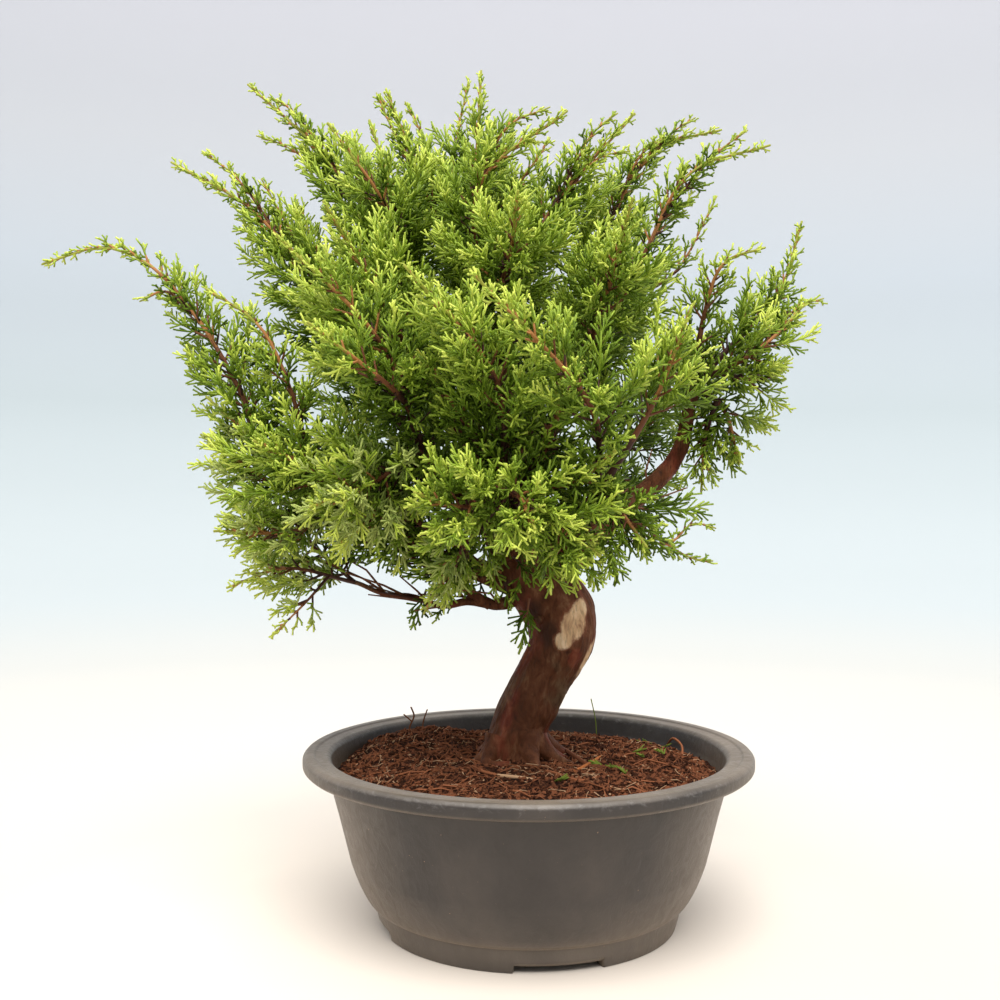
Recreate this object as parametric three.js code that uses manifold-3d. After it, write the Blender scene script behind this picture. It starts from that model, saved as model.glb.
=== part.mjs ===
// A potted Itoigawa Chinese juniper bonsai, in millimetres, +Z up.
// Every size below is measured from the axis of the round pot, with the pot's foot at z = 0, -Y towards
// the viewer and +X to the viewer's right. The finished plant is then moved so that the middle of its
// footprint is the origin.
import * as THREE from 'three';
import { mergeVertices } from 'three/addons/utils/BufferGeometryUtils.js';
import Module from 'manifold-3d';

const wasm = await Module();
wasm.setup();

const v3 = (x, y, z) => new THREE.Vector3(x, y, z);
const UP = v3(0, 0, 1);

// Driving dimensions of the pot
const RIM_RADIUS = 140;
const RIM_TOP = 107.6;
const RIM_UNDERSIDE = 97.7;
const RIM_INNER_RADIUS = 123;
const RIM_ROUNDING = 1.5;
const WAIST_RADIUS = 111;
const WAIST_HEIGHT = 42;
const BODY_TOP_RADIUS = 125;
const BODY_FOOT_RADIUS = 98;
const BEND_RADIUS = 105;
const BEND_HEIGHT = 23.5;
const FOOT_RADIUS = 92;
const FOOT_HEIGHT = 15.5;
const FOOT_WALL = 7;
const FOOT_FLARE = 3;
const WALL = 4;
const FLOOR_TOP = 15;
const FLOOR_UNDERSIDE = 9;
const CUTOUTS = 4;
const CUTOUT_WIDTH = 50;
const CUTOUT_HEIGHT = 4.7;
const CUTOUT_TURN = THREE.MathUtils.degToRad(10);
const POT_SIDES = 32;
const POT_CURVE_STEPS = 2;

// Driving dimensions of the soil
const GAP = 0.3;
const GROUND = 102;
const SOIL_EDGE = 91.5;
const SEAT_RADIUS = 44;
const MOUND_RADIUS = 84;
const MOUND_STEPS = 3;

// Driving dimensions of the trunk, from the ground to its thin top inside the crown
const TRUNK_SIDES = 12;
const TRUNK_STEPS = 12;
const TRUNK_LINE = [
  v3(-12.5, 0, 92), v3(-4, 0, 124), v3(10, 0, 153), v3(20.5, 1, 173), v3(19.5, 3, 192), v3(6, 6, 210),
  v3(-8, 8, 225), v3(-15, 10, 246), v3(-10, 12, 274), v3(-6, 14, 304),
];
const TRUNK_RADII = [20, 17.7, 17.5, 20.5, 22.5, 20.5, 15.5, 12.5, 9.5, 6.5];

// The roots that flare out of the trunk's foot, each at its own angle from +X and with its own reach. They
// start and bend at shares of their reach, outwards and upwards.
const TRUNK_FOOT = v3(-9.5, 0, GROUND);
const ROOTS = [
  { angle: 4, reach: 36 }, { angle: 75, reach: 30 }, { angle: 148, reach: 28 }, { angle: 215, reach: 28 },
  { angle: 286, reach: 30 },
];
const ROOT_START = { out: 0.2, up: 0.8 };
const ROOT_BEND = { out: 0.55, up: 0.15 };
const ROOT_RADIUS = 8;
const ROOT_TIP_RADIUS = 3;
const ROOT_SIDES = 5;
const ROOT_STEPS = 2;

// The boughs: the share of the trunk's length where each leaves it, its tip, how far it arches above a
// straight line, and its radius at the trunk and at the tip
const BOUGHS = [
  { name: 'low_left', at: 0.53, tip: v3(-105, -30, 214), arch: -10, radii: [4.8, 2.4] },
  { name: 'left', at: 0.60, tip: v3(-98, -22, 262), arch: -13, radii: [5.6, 3.4] },
  { name: 'right_low', at: 0.54, tip: v3(97, 21, 287), arch: 3, radii: [8, 5.6] },
  { name: 'front_right', at: 0.56, tip: v3(38, -75, 268), arch: -4, radii: [5.5, 3.5] },
  { name: 'front', at: 0.655, tip: v3(-15, -80, 265), arch: -2, radii: [5, 3.5] },
  { name: 'front_left', at: 0.74, tip: v3(-62, -62, 292), arch: -4, radii: [5, 3.5] },
  { name: 'back_right', at: 0.64, tip: v3(60, 72, 280), arch: -6, radii: [5.5, 3.5] },
  { name: 'back', at: 0.72, tip: v3(-5, 85, 290), arch: -4, radii: [5, 3.5] },
  { name: 'back_left', at: 0.80, tip: v3(-70, 68, 295), arch: -4, radii: [5, 3.5] },
  { name: 'upper_left', at: 0.88, tip: v3(-60, 8, 325), arch: -5, radii: [5, 3.8] },
  { name: 'upper_right', at: 0.91, tip: v3(30, 8, 330), arch: -4, radii: [5, 3.8] },
  { name: 'top', at: 1, tip: v3(-18, 18, 352), arch: 0, radii: [6, 3.8] },
  { name: 'right_rise', from: 'right_low', tip: v3(105, 10, 336), arch: 0, radii: [4.8, 3.8] },
];
const BOUGH_SIDES = 5;
const BOUGH_STEPS = 3;

// A knob ends every limb, as a share of the radius there
const KNOB_SHARE = 1.4;
const KNOB_SIDES = 6;
const KNOB_RINGS = 3;

// The masses of foliage, by the bough that each grows on from. A mass has one to three shoots: the first
// starts at the bough's tip and the others fork from it at a share of its length. Each shoot passes through
// its points to its tip, with the largest half-width of the foliage round it as its girth.
const MASSES = [
  { name: 'low_left', bough: 'low_left', shoots: [
    { through: [v3(-148, -24, 222), v3(-184, -22, 210)], girth: 28 },
    { at: 0.2, through: [v3(-132, -44, 204), v3(-152, -48, 184)], girth: 20 },
  ] },
  { name: 'low_left_back', bough: 'low_left', shoots: [
    { through: [v3(-144, 5, 238), v3(-192, 18, 242)], girth: 37 },
  ] },
  { name: 'left_long', bough: 'left', shoots: [
    {
      through: [
        v3(-173, -32, 330), v3(-200, -34, 374), v3(-229, -35, 406), v3(-254, -36, 414), v3(-290, -36, 404),
      ],
      girth: 32,
    },
    { at: 0.12, through: [v3(-141, -50, 331), v3(-158, -56, 366), v3(-187, -62, 386)], girth: 26 },
  ] },
  { name: 'left_front', bough: 'left', shoots: [
    { through: [v3(-124, -60, 280), v3(-154, -92, 298)], girth: 44 },
    { at: 0.1, through: [v3(-104, -10, 290), v3(-117, 0, 324)], girth: 30 },
  ] },
  { name: 'left_side', bough: 'left', shoots: [
    { through: [v3(-150, -24, 272), v3(-197, -32, 303)], girth: 42 },
    { at: 0.1, through: [v3(-138, -40, 246), v3(-185, -52, 246)], girth: 34 },
    { at: 0.3, through: [v3(-174, -40, 309), v3(-191, -44, 325)], girth: 30 },
  ] },
  { name: 'upper_left_low', bough: 'upper_left', shoots: [
    { through: [v3(-126, 8, 386), v3(-171, 4, 443), v3(-222, 0, 473)], girth: 38 },
  ] },
  { name: 'upper_left_high', bough: 'upper_left', shoots: [
    { through: [v3(-88, 20, 420), v3(-130, 20, 482), v3(-178, 20, 527)], girth: 40 },
    { at: 0.3, through: [v3(-84, -22, 436), v3(-119, -42, 486)], girth: 36 },
    { at: 0.25, through: [v3(-84, -4, 451), v3(-98, -8, 497)], girth: 28 },
  ] },
  { name: 'upper_left_back', bough: 'upper_left', shoots: [
    { through: [v3(-102, 70, 378), v3(-141, 106, 428)], girth: 39 },
  ] },
  { name: 'upper_left_front', bough: 'upper_left', shoots: [
    { through: [v3(-85, -55, 378), v3(-114, -100, 428)], girth: 42 },
  ] },
  { name: 'top_left', bough: 'top', shoots: [
    { through: [v3(-60, 28, 446), v3(-91, 30, 527)], girth: 38 },
    { at: 0.25, through: [v3(-34, 45, 470), v3(-30, 50, 545)], girth: 36 },
    { at: 0.15, through: [v3(-14, 84, 440), v3(-5, 120, 490)], girth: 46 },
  ] },
  { name: 'top_right', bough: 'top', shoots: [
    { through: [v3(10, 12, 438), v3(67, 10, 506)], girth: 37 },
  ] },
  { name: 'top_front', bough: 'top', shoots: [
    { through: [v3(-30, -45, 448), v3(21, -60, 488)], girth: 38 },
    { at: 0.2, through: [v3(-12, -80, 402), v3(-8, -118, 430)], girth: 44 },
  ] },
  { name: 'upper_right_high', bough: 'upper_right', shoots: [
    { through: [v3(45, 44, 418), v3(84, 42, 491), v3(127, 42, 504)], girth: 36 },
  ] },
  { name: 'upper_right_out', bough: 'upper_right', shoots: [
    { through: [v3(70, -10, 412), v3(98, -20, 462), v3(144, -30, 476)], girth: 28 },
    { at: 0.3, through: [v3(94, 18, 408), v3(122, 28, 458)], girth: 16 },
  ] },
  { name: 'upper_right_front', bough: 'upper_right', shoots: [
    { through: [v3(44, -65, 385), v3(53, -118, 426)], girth: 40 },
  ] },
  { name: 'upper_right_back', bough: 'upper_right', shoots: [
    { through: [v3(50, 76, 388), v3(68, 126, 440)], girth: 46 },
  ] },
  { name: 'right_peak', bough: 'right_rise', shoots: [
    { through: [v3(144, 14, 376), v3(160, 12, 396), v3(172, 8, 438)], girth: 28 },
  ] },
  { name: 'right_up', bough: 'right_rise', shoots: [
    { through: [v3(107, -16, 376), v3(117, -30, 406), v3(140, -36, 414)], girth: 26 },
  ] },
  { name: 'right_out', bough: 'right_rise', shoots: [
    { through: [v3(140, -18, 355), v3(171, -14, 385)], girth: 32 },
    { at: 0.2, through: [v3(139, -4, 338), v3(157, 0, 342)], girth: 30 },
  ] },
  { name: 'right_drop', bough: 'right_rise', shoots: [
    { through: [v3(124, 14, 321), v3(133, 6, 286)], girth: 34 },
    { at: 0.3, through: [v3(113, 14, 304), v3(110, 12, 268)], girth: 28 },
  ] },
  { name: 'front_long', bough: 'front_right', shoots: [
    { through: [v3(32, -122, 312), v3(-32, -190, 377)], girth: 36 },
  ] },
  { name: 'front_right', bough: 'front_right', shoots: [
    { through: [v3(68, -92, 320), v3(85, -117, 370)], girth: 39 },
  ] },
  { name: 'front_right_low', bough: 'front_right', shoots: [
    { through: [v3(50, -94, 257), v3(62, -108, 240)], girth: 34 },
    { at: 0.25, through: [v3(79, -56, 238), v3(96, -45, 250), v3(111, -38, 247)], girth: 15 },
  ] },
  { name: 'front_low', bough: 'front', shoots: [
    { through: [v3(-8, -118, 268), v3(0, -160, 252)], girth: 44 },
    { at: 0.15, through: [v3(-40, -118, 262), v3(-62, -140, 270)], girth: 38 },
    { at: 0.1, through: [v3(14, -104, 250), v3(36, -120, 236)], girth: 38 },
  ] },
  { name: 'front_rise', bough: 'front', shoots: [
    { through: [v3(-20, -118, 330), v3(-66, -152, 385)], girth: 42 },
    { at: 0.12, through: [v3(-42, -98, 316), v3(-62, -114, 346)], girth: 34 },
  ] },
  { name: 'front_middle', bough: 'front', shoots: [
    { through: [v3(10, -96, 298), v3(18, -126, 350)], girth: 40 },
    { at: 0.12, through: [v3(20, -104, 274), v3(44, -120, 292)], girth: 34 },
  ] },
  { name: 'front_drop', bough: 'front', shoots: [
    { through: [v3(-42, -72, 232), v3(-62, -58, 198)], girth: 28 },
  ] },
  { name: 'front_left', bough: 'front_left', shoots: [
    { through: [v3(-82, -104, 350), v3(-133, -140, 403)], girth: 40 },
    { at: 0.2, through: [v3(-76, -122, 326), v3(-112, -172, 354)], girth: 36 },
  ] },
  { name: 'front_left_low', bough: 'front_left', shoots: [
    { through: [v3(-90, -90, 274), v3(-118, -126, 262)], girth: 44 },
    { at: 0.15, through: [v3(-90, -72, 256), v3(-110, -82, 238)], girth: 32 },
  ] },
  { name: 'back_left', bough: 'back_left', shoots: [
    { through: [v3(-110, 96, 345), v3(-156, 126, 392)], girth: 48 },
  ] },
  { name: 'back_left_low', bough: 'back_left', shoots: [
    { through: [v3(-112, 88, 284), v3(-160, 92, 264)], girth: 44 },
  ] },
  { name: 'back', bough: 'back', shoots: [
    { through: [v3(0, 128, 345), v3(5, 165, 402)], girth: 50 },
  ] },
  { name: 'back_low', bough: 'back', shoots: [
    { through: [v3(-14, 130, 288), v3(-20, 172, 272)], girth: 46 },
  ] },
  { name: 'back_right', bough: 'back_right', shoots: [
    { through: [v3(92, 106, 328), v3(136, 130, 382)], girth: 48 },
  ] },
  { name: 'back_right_low', bough: 'back_right', shoots: [
    { through: [v3(72, 100, 268), v3(62, 138, 250)], girth: 38 },
  ] },
];

// The foliage rule: blades leave every shoot in a spiral round a slim core. A short blade is a leaf and a
// long one a spray of three. Each is given by half its outline, as shares of its length along it and across
// it, and is thickest at its ridge.
const LEAF = { half: [[0.6, 0.22]], ridge: 0.6, thickness: 0.24 };
const SPRAY = { half: [[0.3, 0.17], [0.8, 0.5], [0.66, 0.2]], ridge: 0.48, thickness: 0.22 };
const SPRAY_LENGTH = 26;
const FIRST_SEED = 101;
const SAMPLES = 24;
const STEM_RADIUS = 1.3;
const STEM_TIP_RADIUS = 0.7;
const STEM_STEPS = 4;
const STEM_SIDES = 3;
const START_WIDTH = 0.6;
const WIDEST_SHARE = 0.32;
const TIP_WIDTH = 0.14;
const THINNING = 1.15;
const LIMB_CLEAR = 1;
const BLADE_CLEAR = 0.4;
const BLADE_SPACING = 25;
const FIRST_BLADE = 0.04;
const LAST_BLADE = 0.93;
const BLADE_TURN = Math.PI * (3 - Math.sqrt(5));
const BASE_ANGLE = THREE.MathUtils.degToRad(64);
const TIP_ANGLE = THREE.MathUtils.degToRad(28);
const TIP_BLADE = 24;
const LEAST_REACH = 0.85;
const MOST_REACH = 1.1;
const SHRINK = 0.82;
const TRIES = 6;
const CORE_SHARE = 0.5;
const CORE_START = 0.1;
const CORE_END = 0.8;
const CORE_SIDES = 4;
const CORE_STEPS = 3;
const CORE_SINK = 0.3;
const CORE_ROOM = 0.7;
const CORE_CLEAR = 1.5;

// Materials
const finish = (color, roughness) => new THREE.MeshStandardMaterial({ color, roughness, metalness: 0 });
const POT_PLASTIC = finish(0x3a3836, 0.6);
const SOIL = finish(0x3b2015, 1);
const BARK = finish(0x5d3427, 0.85);
const FOLIAGE = finish(0x5f8f2c, 0.75);

// The same seeded numbers every run, from 0 to 1
function seededRandom(seed) {
  let state = seed >>> 0;
  return () => {
    state = (Math.imul(state, 1664525) + 1013904223) >>> 0;
    return state / 2 ** 32;
  };
}

function solidOf(geometry) {
  const bare = new THREE.BufferGeometry();
  bare.setAttribute('position', geometry.getAttribute('position'));
  bare.setIndex(geometry.index);
  const merged = mergeVertices(bare, 1e-4);
  return new wasm.Manifold(new wasm.Mesh({
    numProp: 3,
    vertProperties: new Float32Array(merged.attributes.position.array),
    triVerts: new Uint32Array(merged.index.array),
  }));
}

function meshOf(name, solid, material) {
  const made = solid.getMesh();
  const geometry = new THREE.BufferGeometry();
  geometry.setAttribute('position', new THREE.BufferAttribute(made.vertProperties, 3));
  geometry.setIndex(new THREE.BufferAttribute(made.triVerts, 1));
  geometry.computeVertexNormals();
  const mesh = new THREE.Mesh(geometry, material);
  mesh.name = name;
  return mesh;
}

const join = (solids) => wasm.Manifold.union(solids);

// Drops loose scraps, and fills a hollow that joining has sealed
function largestBody(solid) {
  return solid.decompose().reduce((best, body) => (body.volume() > best.volume() ? body : best));
}

// A cylinder bent along a curve, with a radius for each share of the curve's length
function limb(curve, radiusAt, sides, steps) {
  const geometry = new THREE.CylinderGeometry(1, 1, 1, sides, steps);
  const frames = curve.computeFrenetFrames(steps, false);
  const position = geometry.getAttribute('position');
  for (let i = 0; i < position.count; i += 1) {
    const step = Math.round((position.getY(i) + 0.5) * steps);
    const radius = radiusAt(step / steps);
    const across = new THREE.Vector3().crossVectors(frames.normals[step], frames.tangents[step]);
    const point = curve.getPointAt(step / steps)
      .addScaledVector(frames.normals[step], position.getX(i) * radius)
      .addScaledVector(across, position.getZ(i) * radius);
    position.setXYZ(i, point.x, point.y, point.z);
  }
  return solidOf(geometry);
}

function ball(centre, radius) {
  const geometry = new THREE.SphereGeometry(radius, KNOB_SIDES, KNOB_RINGS);
  return solidOf(geometry.translate(centre.x, centre.y, centre.z));
}

function turned(points) {
  return solidOf(new THREE.LatheGeometry(points, POT_SIDES).rotateX(Math.PI / 2));
}

// The inside of the pot from the middle of its floor up to a height, drawn in by a clearance
function innerWall(clearance, height) {
  const wall = new THREE.Path();
  const inward = WALL + clearance;
  const slope = (BODY_TOP_RADIUS - WAIST_RADIUS) / (RIM_UNDERSIDE - WAIST_HEIGHT);
  wall.moveTo(0, FLOOR_TOP + clearance);
  wall.lineTo(BODY_FOOT_RADIUS - inward, FLOOR_TOP + clearance);
  wall.quadraticCurveTo(BEND_RADIUS - inward, BEND_HEIGHT, WAIST_RADIUS - inward, WAIST_HEIGHT);
  wall.lineTo(WAIST_RADIUS - inward + slope * (height - WAIST_HEIGHT), height);
  return wall.getPoints(POT_CURVE_STEPS);
}

function potSolid() {
  const outer = new THREE.Path();
  outer.moveTo(0, FLOOR_UNDERSIDE);
  outer.lineTo(FOOT_RADIUS - FOOT_WALL, FLOOR_UNDERSIDE);
  outer.lineTo(FOOT_RADIUS - FOOT_WALL, 0);
  outer.lineTo(FOOT_RADIUS, 0);
  outer.lineTo(FOOT_RADIUS + FOOT_FLARE, FOOT_HEIGHT - FOOT_FLARE);
  outer.lineTo(BODY_FOOT_RADIUS, FOOT_HEIGHT);
  outer.quadraticCurveTo(BEND_RADIUS, BEND_HEIGHT, WAIST_RADIUS, WAIST_HEIGHT);
  outer.lineTo(BODY_TOP_RADIUS, RIM_UNDERSIDE);
  outer.lineTo(RIM_RADIUS, RIM_UNDERSIDE);
  outer.lineTo(RIM_RADIUS, RIM_TOP - RIM_ROUNDING);
  outer.lineTo(RIM_RADIUS - RIM_ROUNDING, RIM_TOP);
  outer.lineTo(RIM_INNER_RADIUS, RIM_TOP);
  const inner = innerWall(0, SOIL_EDGE).reverse();
  const body = turned([...outer.getPoints(POT_CURVE_STEPS), ...inner]);
  const cutouts = [];
  for (let i = 0; i < CUTOUTS; i += 1) {
    const cutout = new THREE.BoxGeometry(CUTOUT_WIDTH, 4 * FOOT_WALL, 2 * CUTOUT_HEIGHT);
    cutout.translate(0, -FOOT_RADIUS, 0);
    cutout.rotateZ(CUTOUT_TURN + (i * 2 * Math.PI) / CUTOUTS);
    cutouts.push(solidOf(cutout));
  }
  return body.subtract(join(cutouts));
}

// The soil fills the pot and rises from its edge to a flat seat for the trunk
function soilSolid() {
  const wall = innerWall(GAP, SOIL_EDGE);
  const edge = wall.pop();
  const top = new THREE.Path();
  top.moveTo(edge.x, edge.y);
  top.quadraticCurveTo(MOUND_RADIUS, GROUND, SEAT_RADIUS, GROUND);
  top.lineTo(0, GROUND);
  return turned([...wall, ...top.getPoints(MOUND_STEPS)]);
}

const trunkCurve = new THREE.CatmullRomCurve3(TRUNK_LINE, false, 'centripetal');

function trunkRadiusAt(share) {
  const place = trunkCurve.getUtoTmapping(share) * (TRUNK_RADII.length - 1);
  const low = Math.min(Math.floor(place), TRUNK_RADII.length - 2);
  return THREE.MathUtils.lerp(TRUNK_RADII[low], TRUNK_RADII[low + 1], place - low);
}

// A point at a share of a root's reach, outwards and upwards from the trunk's foot
function rootPoint({ angle, reach }, { out, up }) {
  const turn = THREE.MathUtils.degToRad(angle);
  return v3(Math.cos(turn) * out, Math.sin(turn) * out, up).multiplyScalar(reach).add(TRUNK_FOOT);
}

function rootSolid(root, grow) {
  const below = { out: 1, up: -ROOT_TIP_RADIUS / root.reach };
  const line = new THREE.QuadraticBezierCurve3(
    rootPoint(root, ROOT_START),
    rootPoint(root, ROOT_BEND),
    rootPoint(root, below),
  );
  const radiusAt = (share) => THREE.MathUtils.lerp(ROOT_RADIUS, ROOT_TIP_RADIUS, share) + grow;
  return limb(line, radiusAt, ROOT_SIDES, ROOT_STEPS);
}

// The trunk with its roots, cut flat just above the soil
function trunkSolid(grow) {
  const pieces = [
    limb(trunkCurve, (share) => trunkRadiusAt(share) + grow, TRUNK_SIDES, TRUNK_STEPS),
    ball(trunkCurve.getPoint(1), KNOB_SHARE * trunkRadiusAt(1) + grow),
    ...ROOTS.map((root) => rootSolid(root, grow)),
  ];
  const belowGround = new THREE.BoxGeometry(2 * SEAT_RADIUS, 2 * SEAT_RADIUS, GROUND);
  belowGround.translate(TRUNK_FOOT.x, TRUNK_FOOT.y, 0.5 * GROUND + GAP);
  return join(pieces).subtract(solidOf(belowGround));
}

// A limb as the points and radii that foliage keeps clear of
function limbPoints(curve, radiusAt) {
  return curve.getSpacedPoints(SAMPLES).map((point, i) => ({ point, radius: radiusAt(i / SAMPLES) }));
}

// Boughs: each starts inside the trunk or the bough that carries it, and is cut back from it
const boughs = new Map();
for (const { name, at, from, tip, arch, radii } of BOUGHS) {
  const root = from ? boughs.get(from).tip.clone() : trunkCurve.getPointAt(at);
  const middle = root.clone().lerp(tip, 0.5).addScaledVector(UP, 2 * arch);
  const curve = new THREE.QuadraticBezierCurve3(root, middle, tip);
  const radiusAt = (share) => THREE.MathUtils.lerp(radii[0], radii[1], share);
  boughs.set(name, { name, from, curve, tip, radiusAt, knob: KNOB_SHARE * radii[1] });
}

const limbs = limbPoints(trunkCurve, trunkRadiusAt);
for (const bough of boughs.values()) {
  limbs.push(...limbPoints(bough.curve, bough.radiusAt));
  limbs.push({ point: bough.tip, radius: bough.knob });
}

function boughSolid(bough, grow) {
  const radiusAt = (share) => bough.radiusAt(share) + grow;
  return limb(bough.curve, radiusAt, BOUGH_SIDES, BOUGH_STEPS).add(ball(bough.tip, bough.knob + grow));
}

// The half-width of the foliage beside a shoot, as a share of its girth: it swells from the bough, then
// thins out to the bare tip
function profile(share) {
  if (share < WIDEST_SHARE) {
    return START_WIDTH + (1 - START_WIDTH) * Math.sin((Math.PI / 2) * (share / WIDEST_SHARE));
  }
  return 1 - (1 - TIP_WIDTH) * ((share - WIDEST_SHARE) / (1 - WIDEST_SHARE)) ** THINNING;
}

// A smooth curve as a few straight stretches, so that blades have their roots in the stem
function straightened(curve) {
  const path = new THREE.CurvePath();
  const points = curve.getSpacedPoints(STEM_STEPS);
  for (let i = 0; i < STEM_STEPS; i += 1) {
    path.add(new THREE.LineCurve3(points[i], points[i + 1]));
  }
  return path;
}

const masses = MASSES.map(({ name, bough, shoots }, index) => {
  const carrier = boughs.get(bough);
  const grown = [];
  for (const { at, through, girth } of shoots) {
    const root = at ? grown[0].curve.getPointAt(at) : carrier.tip;
    const curve = straightened(new THREE.CatmullRomCurve3([root, ...through], false, 'centripetal'));
    const widthAt = (share) => girth * profile(share);
    const points = curve.getSpacedPoints(SAMPLES);
    const samples = points.map((point, i) => ({ point, width: widthAt(i / SAMPLES) }));
    grown.push({ curve, widthAt, samples });
  }
  const samples = grown.flatMap((shoot) => shoot.samples);
  return { name, carrier, shoots: grown, samples, random: seededRandom(FIRST_SEED + index) };
});

// How far a point is from a mass's shoots and the mass's half-width there, where their ratio is least
function besideShoots(point, mass) {
  let best = { distance: Infinity, width: 1 };
  for (const sample of mass.samples) {
    const distance = point.distanceTo(sample.point);
    if (distance * best.width < best.distance * sample.width) best = { distance, width: sample.width };
  }
  return best;
}

// A small ball belongs to a mass if it is clear of all limbs and, measured in half-widths, nearer to the
// mass's shoots than to any other's
function belongs(point, mass, clear) {
  if (limbs.some((near) => point.distanceTo(near.point) < near.radius + LIMB_CLEAR + clear)) return false;
  const own = besideShoots(point, mass);
  const reach = (own.distance + clear) / own.width;
  return masses.every((other) => {
    if (other === mass) return true;
    const theirs = besideShoots(point, other);
    return (theirs.distance - clear) / theirs.width > reach;
  });
}

// The core is as thick as the mass's own space allows, up to a share of its half-width, and thins out at
// both ends of its stretch of the shoot
function coreRadius(mass, shoot, share) {
  const part = (share - CORE_START) / (CORE_END - CORE_START);
  if (part < 0 || part > 1) return 0;
  const width = shoot.widthAt(share);
  const point = shoot.curve.getPointAt(share);
  let radius = CORE_SHARE * width;
  for (const other of masses) {
    if (other === mass) continue;
    const theirs = besideShoots(point, other);
    radius = Math.min(radius, (CORE_ROOM * theirs.distance * width) / (width + theirs.width));
  }
  for (const near of limbs) {
    radius = Math.min(radius, point.distanceTo(near.point) - near.radius - CORE_CLEAR);
  }
  return Math.max(radius * Math.sqrt(Math.sin(Math.PI * part)), STEM_TIP_RADIUS);
}

function coreSolid(mass, shoot) {
  const shareAt = (part) => THREE.MathUtils.lerp(CORE_START, CORE_END, part);
  const [start, middle, end] = [0, 0.5, 1].map((part) => shoot.curve.getPointAt(shareAt(part)));
  const bend = middle.clone().multiplyScalar(2).addScaledVector(start, -0.5).addScaledVector(end, -0.5);
  const line = new THREE.QuadraticBezierCurve3(start, bend, end);
  return limb(line, (part) => coreRadius(mass, shoot, shareAt(part)), CORE_SIDES, CORE_STEPS);
}

// A blade from its root to its tip, or nothing where it would leave the mass's space
function blade(mass, form, root, tip, side) {
  const along = tip.clone().sub(root);
  const length = along.length();
  const across = side.clone().projectOnPlane(along.clone().normalize()).setLength(length);
  const through = new THREE.Vector3().crossVectors(along, across).setLength(length);
  const at = ([x, y], z = 0) => root.clone()
    .addScaledVector(along, x)
    .addScaledVector(across, y)
    .addScaledVector(through, z * form.thickness);
  const otherHalf = form.half.map(([x, y]) => [x, -y]).reverse();
  const outline = [[0, 0], ...form.half, [1, 0], ...otherHalf].map((place) => at(place));
  const middle = at([form.ridge, 0]);
  const front = at([form.ridge, 0], 0.5);
  const back = at([form.ridge, 0], -0.5);
  const probes = [middle, front, back, ...outline.slice(1)];
  for (const corner of outline) probes.push(corner.clone().lerp(middle, 0.5));
  if (!probes.every((probe) => belongs(probe, mass, BLADE_CLEAR))) return null;
  const corners = [];
  outline.forEach((corner, i) => {
    const next = outline[(i + 1) % outline.length];
    corners.push(next, corner, front, corner, next, back);
  });
  const geometry = new THREE.BufferGeometry().setFromPoints(corners);
  geometry.setIndex([...corners.keys()]);
  return solidOf(geometry);
}

// The blade that leaves a shoot at a share of its length and a turn about it, drawn in until it fits
function sideBlade(mass, shoot, share, turn) {
  const forward = shoot.curve.getTangentAt(share);
  const sideways = new THREE.Vector3().crossVectors(forward, UP).normalize();
  const upward = new THREE.Vector3().crossVectors(sideways, forward);
  const out = sideways.clone().multiplyScalar(Math.cos(turn)).addScaledVector(upward, Math.sin(turn));
  const angle = THREE.MathUtils.lerp(BASE_ANGLE, TIP_ANGLE, share);
  const heading = forward.clone().multiplyScalar(Math.cos(angle)).addScaledVector(out, Math.sin(angle));
  const flat = new THREE.Vector3().crossVectors(heading, forward).normalize();
  const side = flat.multiplyScalar(mass.random()).addScaledVector(out, mass.random() - 0.5);
  const sunk = (CORE_SINK * coreRadius(mass, shoot, share)) / Math.sin(angle);
  const root = shoot.curve.getPointAt(share).addScaledVector(heading, sunk);
  const spread = THREE.MathUtils.lerp(LEAST_REACH, MOST_REACH, mass.random());
  let reach = (shoot.widthAt(share) * spread) / Math.sin(angle) - sunk;
  for (let i = 0; i < TRIES; i += 1) {
    const form = reach > SPRAY_LENGTH ? SPRAY : LEAF;
    const made = blade(mass, form, root, root.clone().addScaledVector(heading, reach), side);
    if (made) return [made];
    reach *= SHRINK;
  }
  return [];
}

function shootSolids(mass, shoot) {
  const { curve } = shoot;
  const length = curve.getLength();
  const stemRadiusAt = (share) => THREE.MathUtils.lerp(STEM_RADIUS, STEM_TIP_RADIUS, share);
  const solids = [limb(curve, stemRadiusAt, STEM_SIDES, STEM_STEPS), coreSolid(mass, shoot)];
  const tip = blade(mass, LEAF, curve.getPointAt(1 - TIP_BLADE / length), curve.getPointAt(1), UP);
  if (tip) solids.push(tip);
  const blades = Math.round((length * (LAST_BLADE - FIRST_BLADE)) / BLADE_SPACING);
  let turn = 2 * Math.PI * mass.random();
  for (let i = 0; i < blades; i += 1) {
    const share = THREE.MathUtils.lerp(FIRST_BLADE, LAST_BLADE, (i + 0.5 * mass.random()) / blades);
    solids.push(...sideBlade(mass, shoot, share, turn));
    turn += BLADE_TURN;
  }
  return solids;
}

function massSolid(mass) {
  const solids = mass.shoots.flatMap((shoot) => shootSolids(mass, shoot));
  return largestBody(join(solids).subtract(boughSolid(mass.carrier, GAP)));
}

const plant = new THREE.Group();
plant.add(meshOf('pot', potSolid(), POT_PLASTIC));
plant.add(meshOf('soil', soilSolid(), SOIL));
plant.add(meshOf('trunk', trunkSolid(0), BARK));
const trunkClearance = trunkSolid(GAP);
for (const bough of boughs.values()) {
  const carrier = bough.from ? boughSolid(boughs.get(bough.from), GAP) : trunkClearance;
  plant.add(meshOf(`bough_${bough.name}`, largestBody(boughSolid(bough, 0).subtract(carrier)), BARK));
}
for (const mass of masses) plant.add(meshOf(`foliage_${mass.name}`, massSolid(mass), FOLIAGE));

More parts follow.
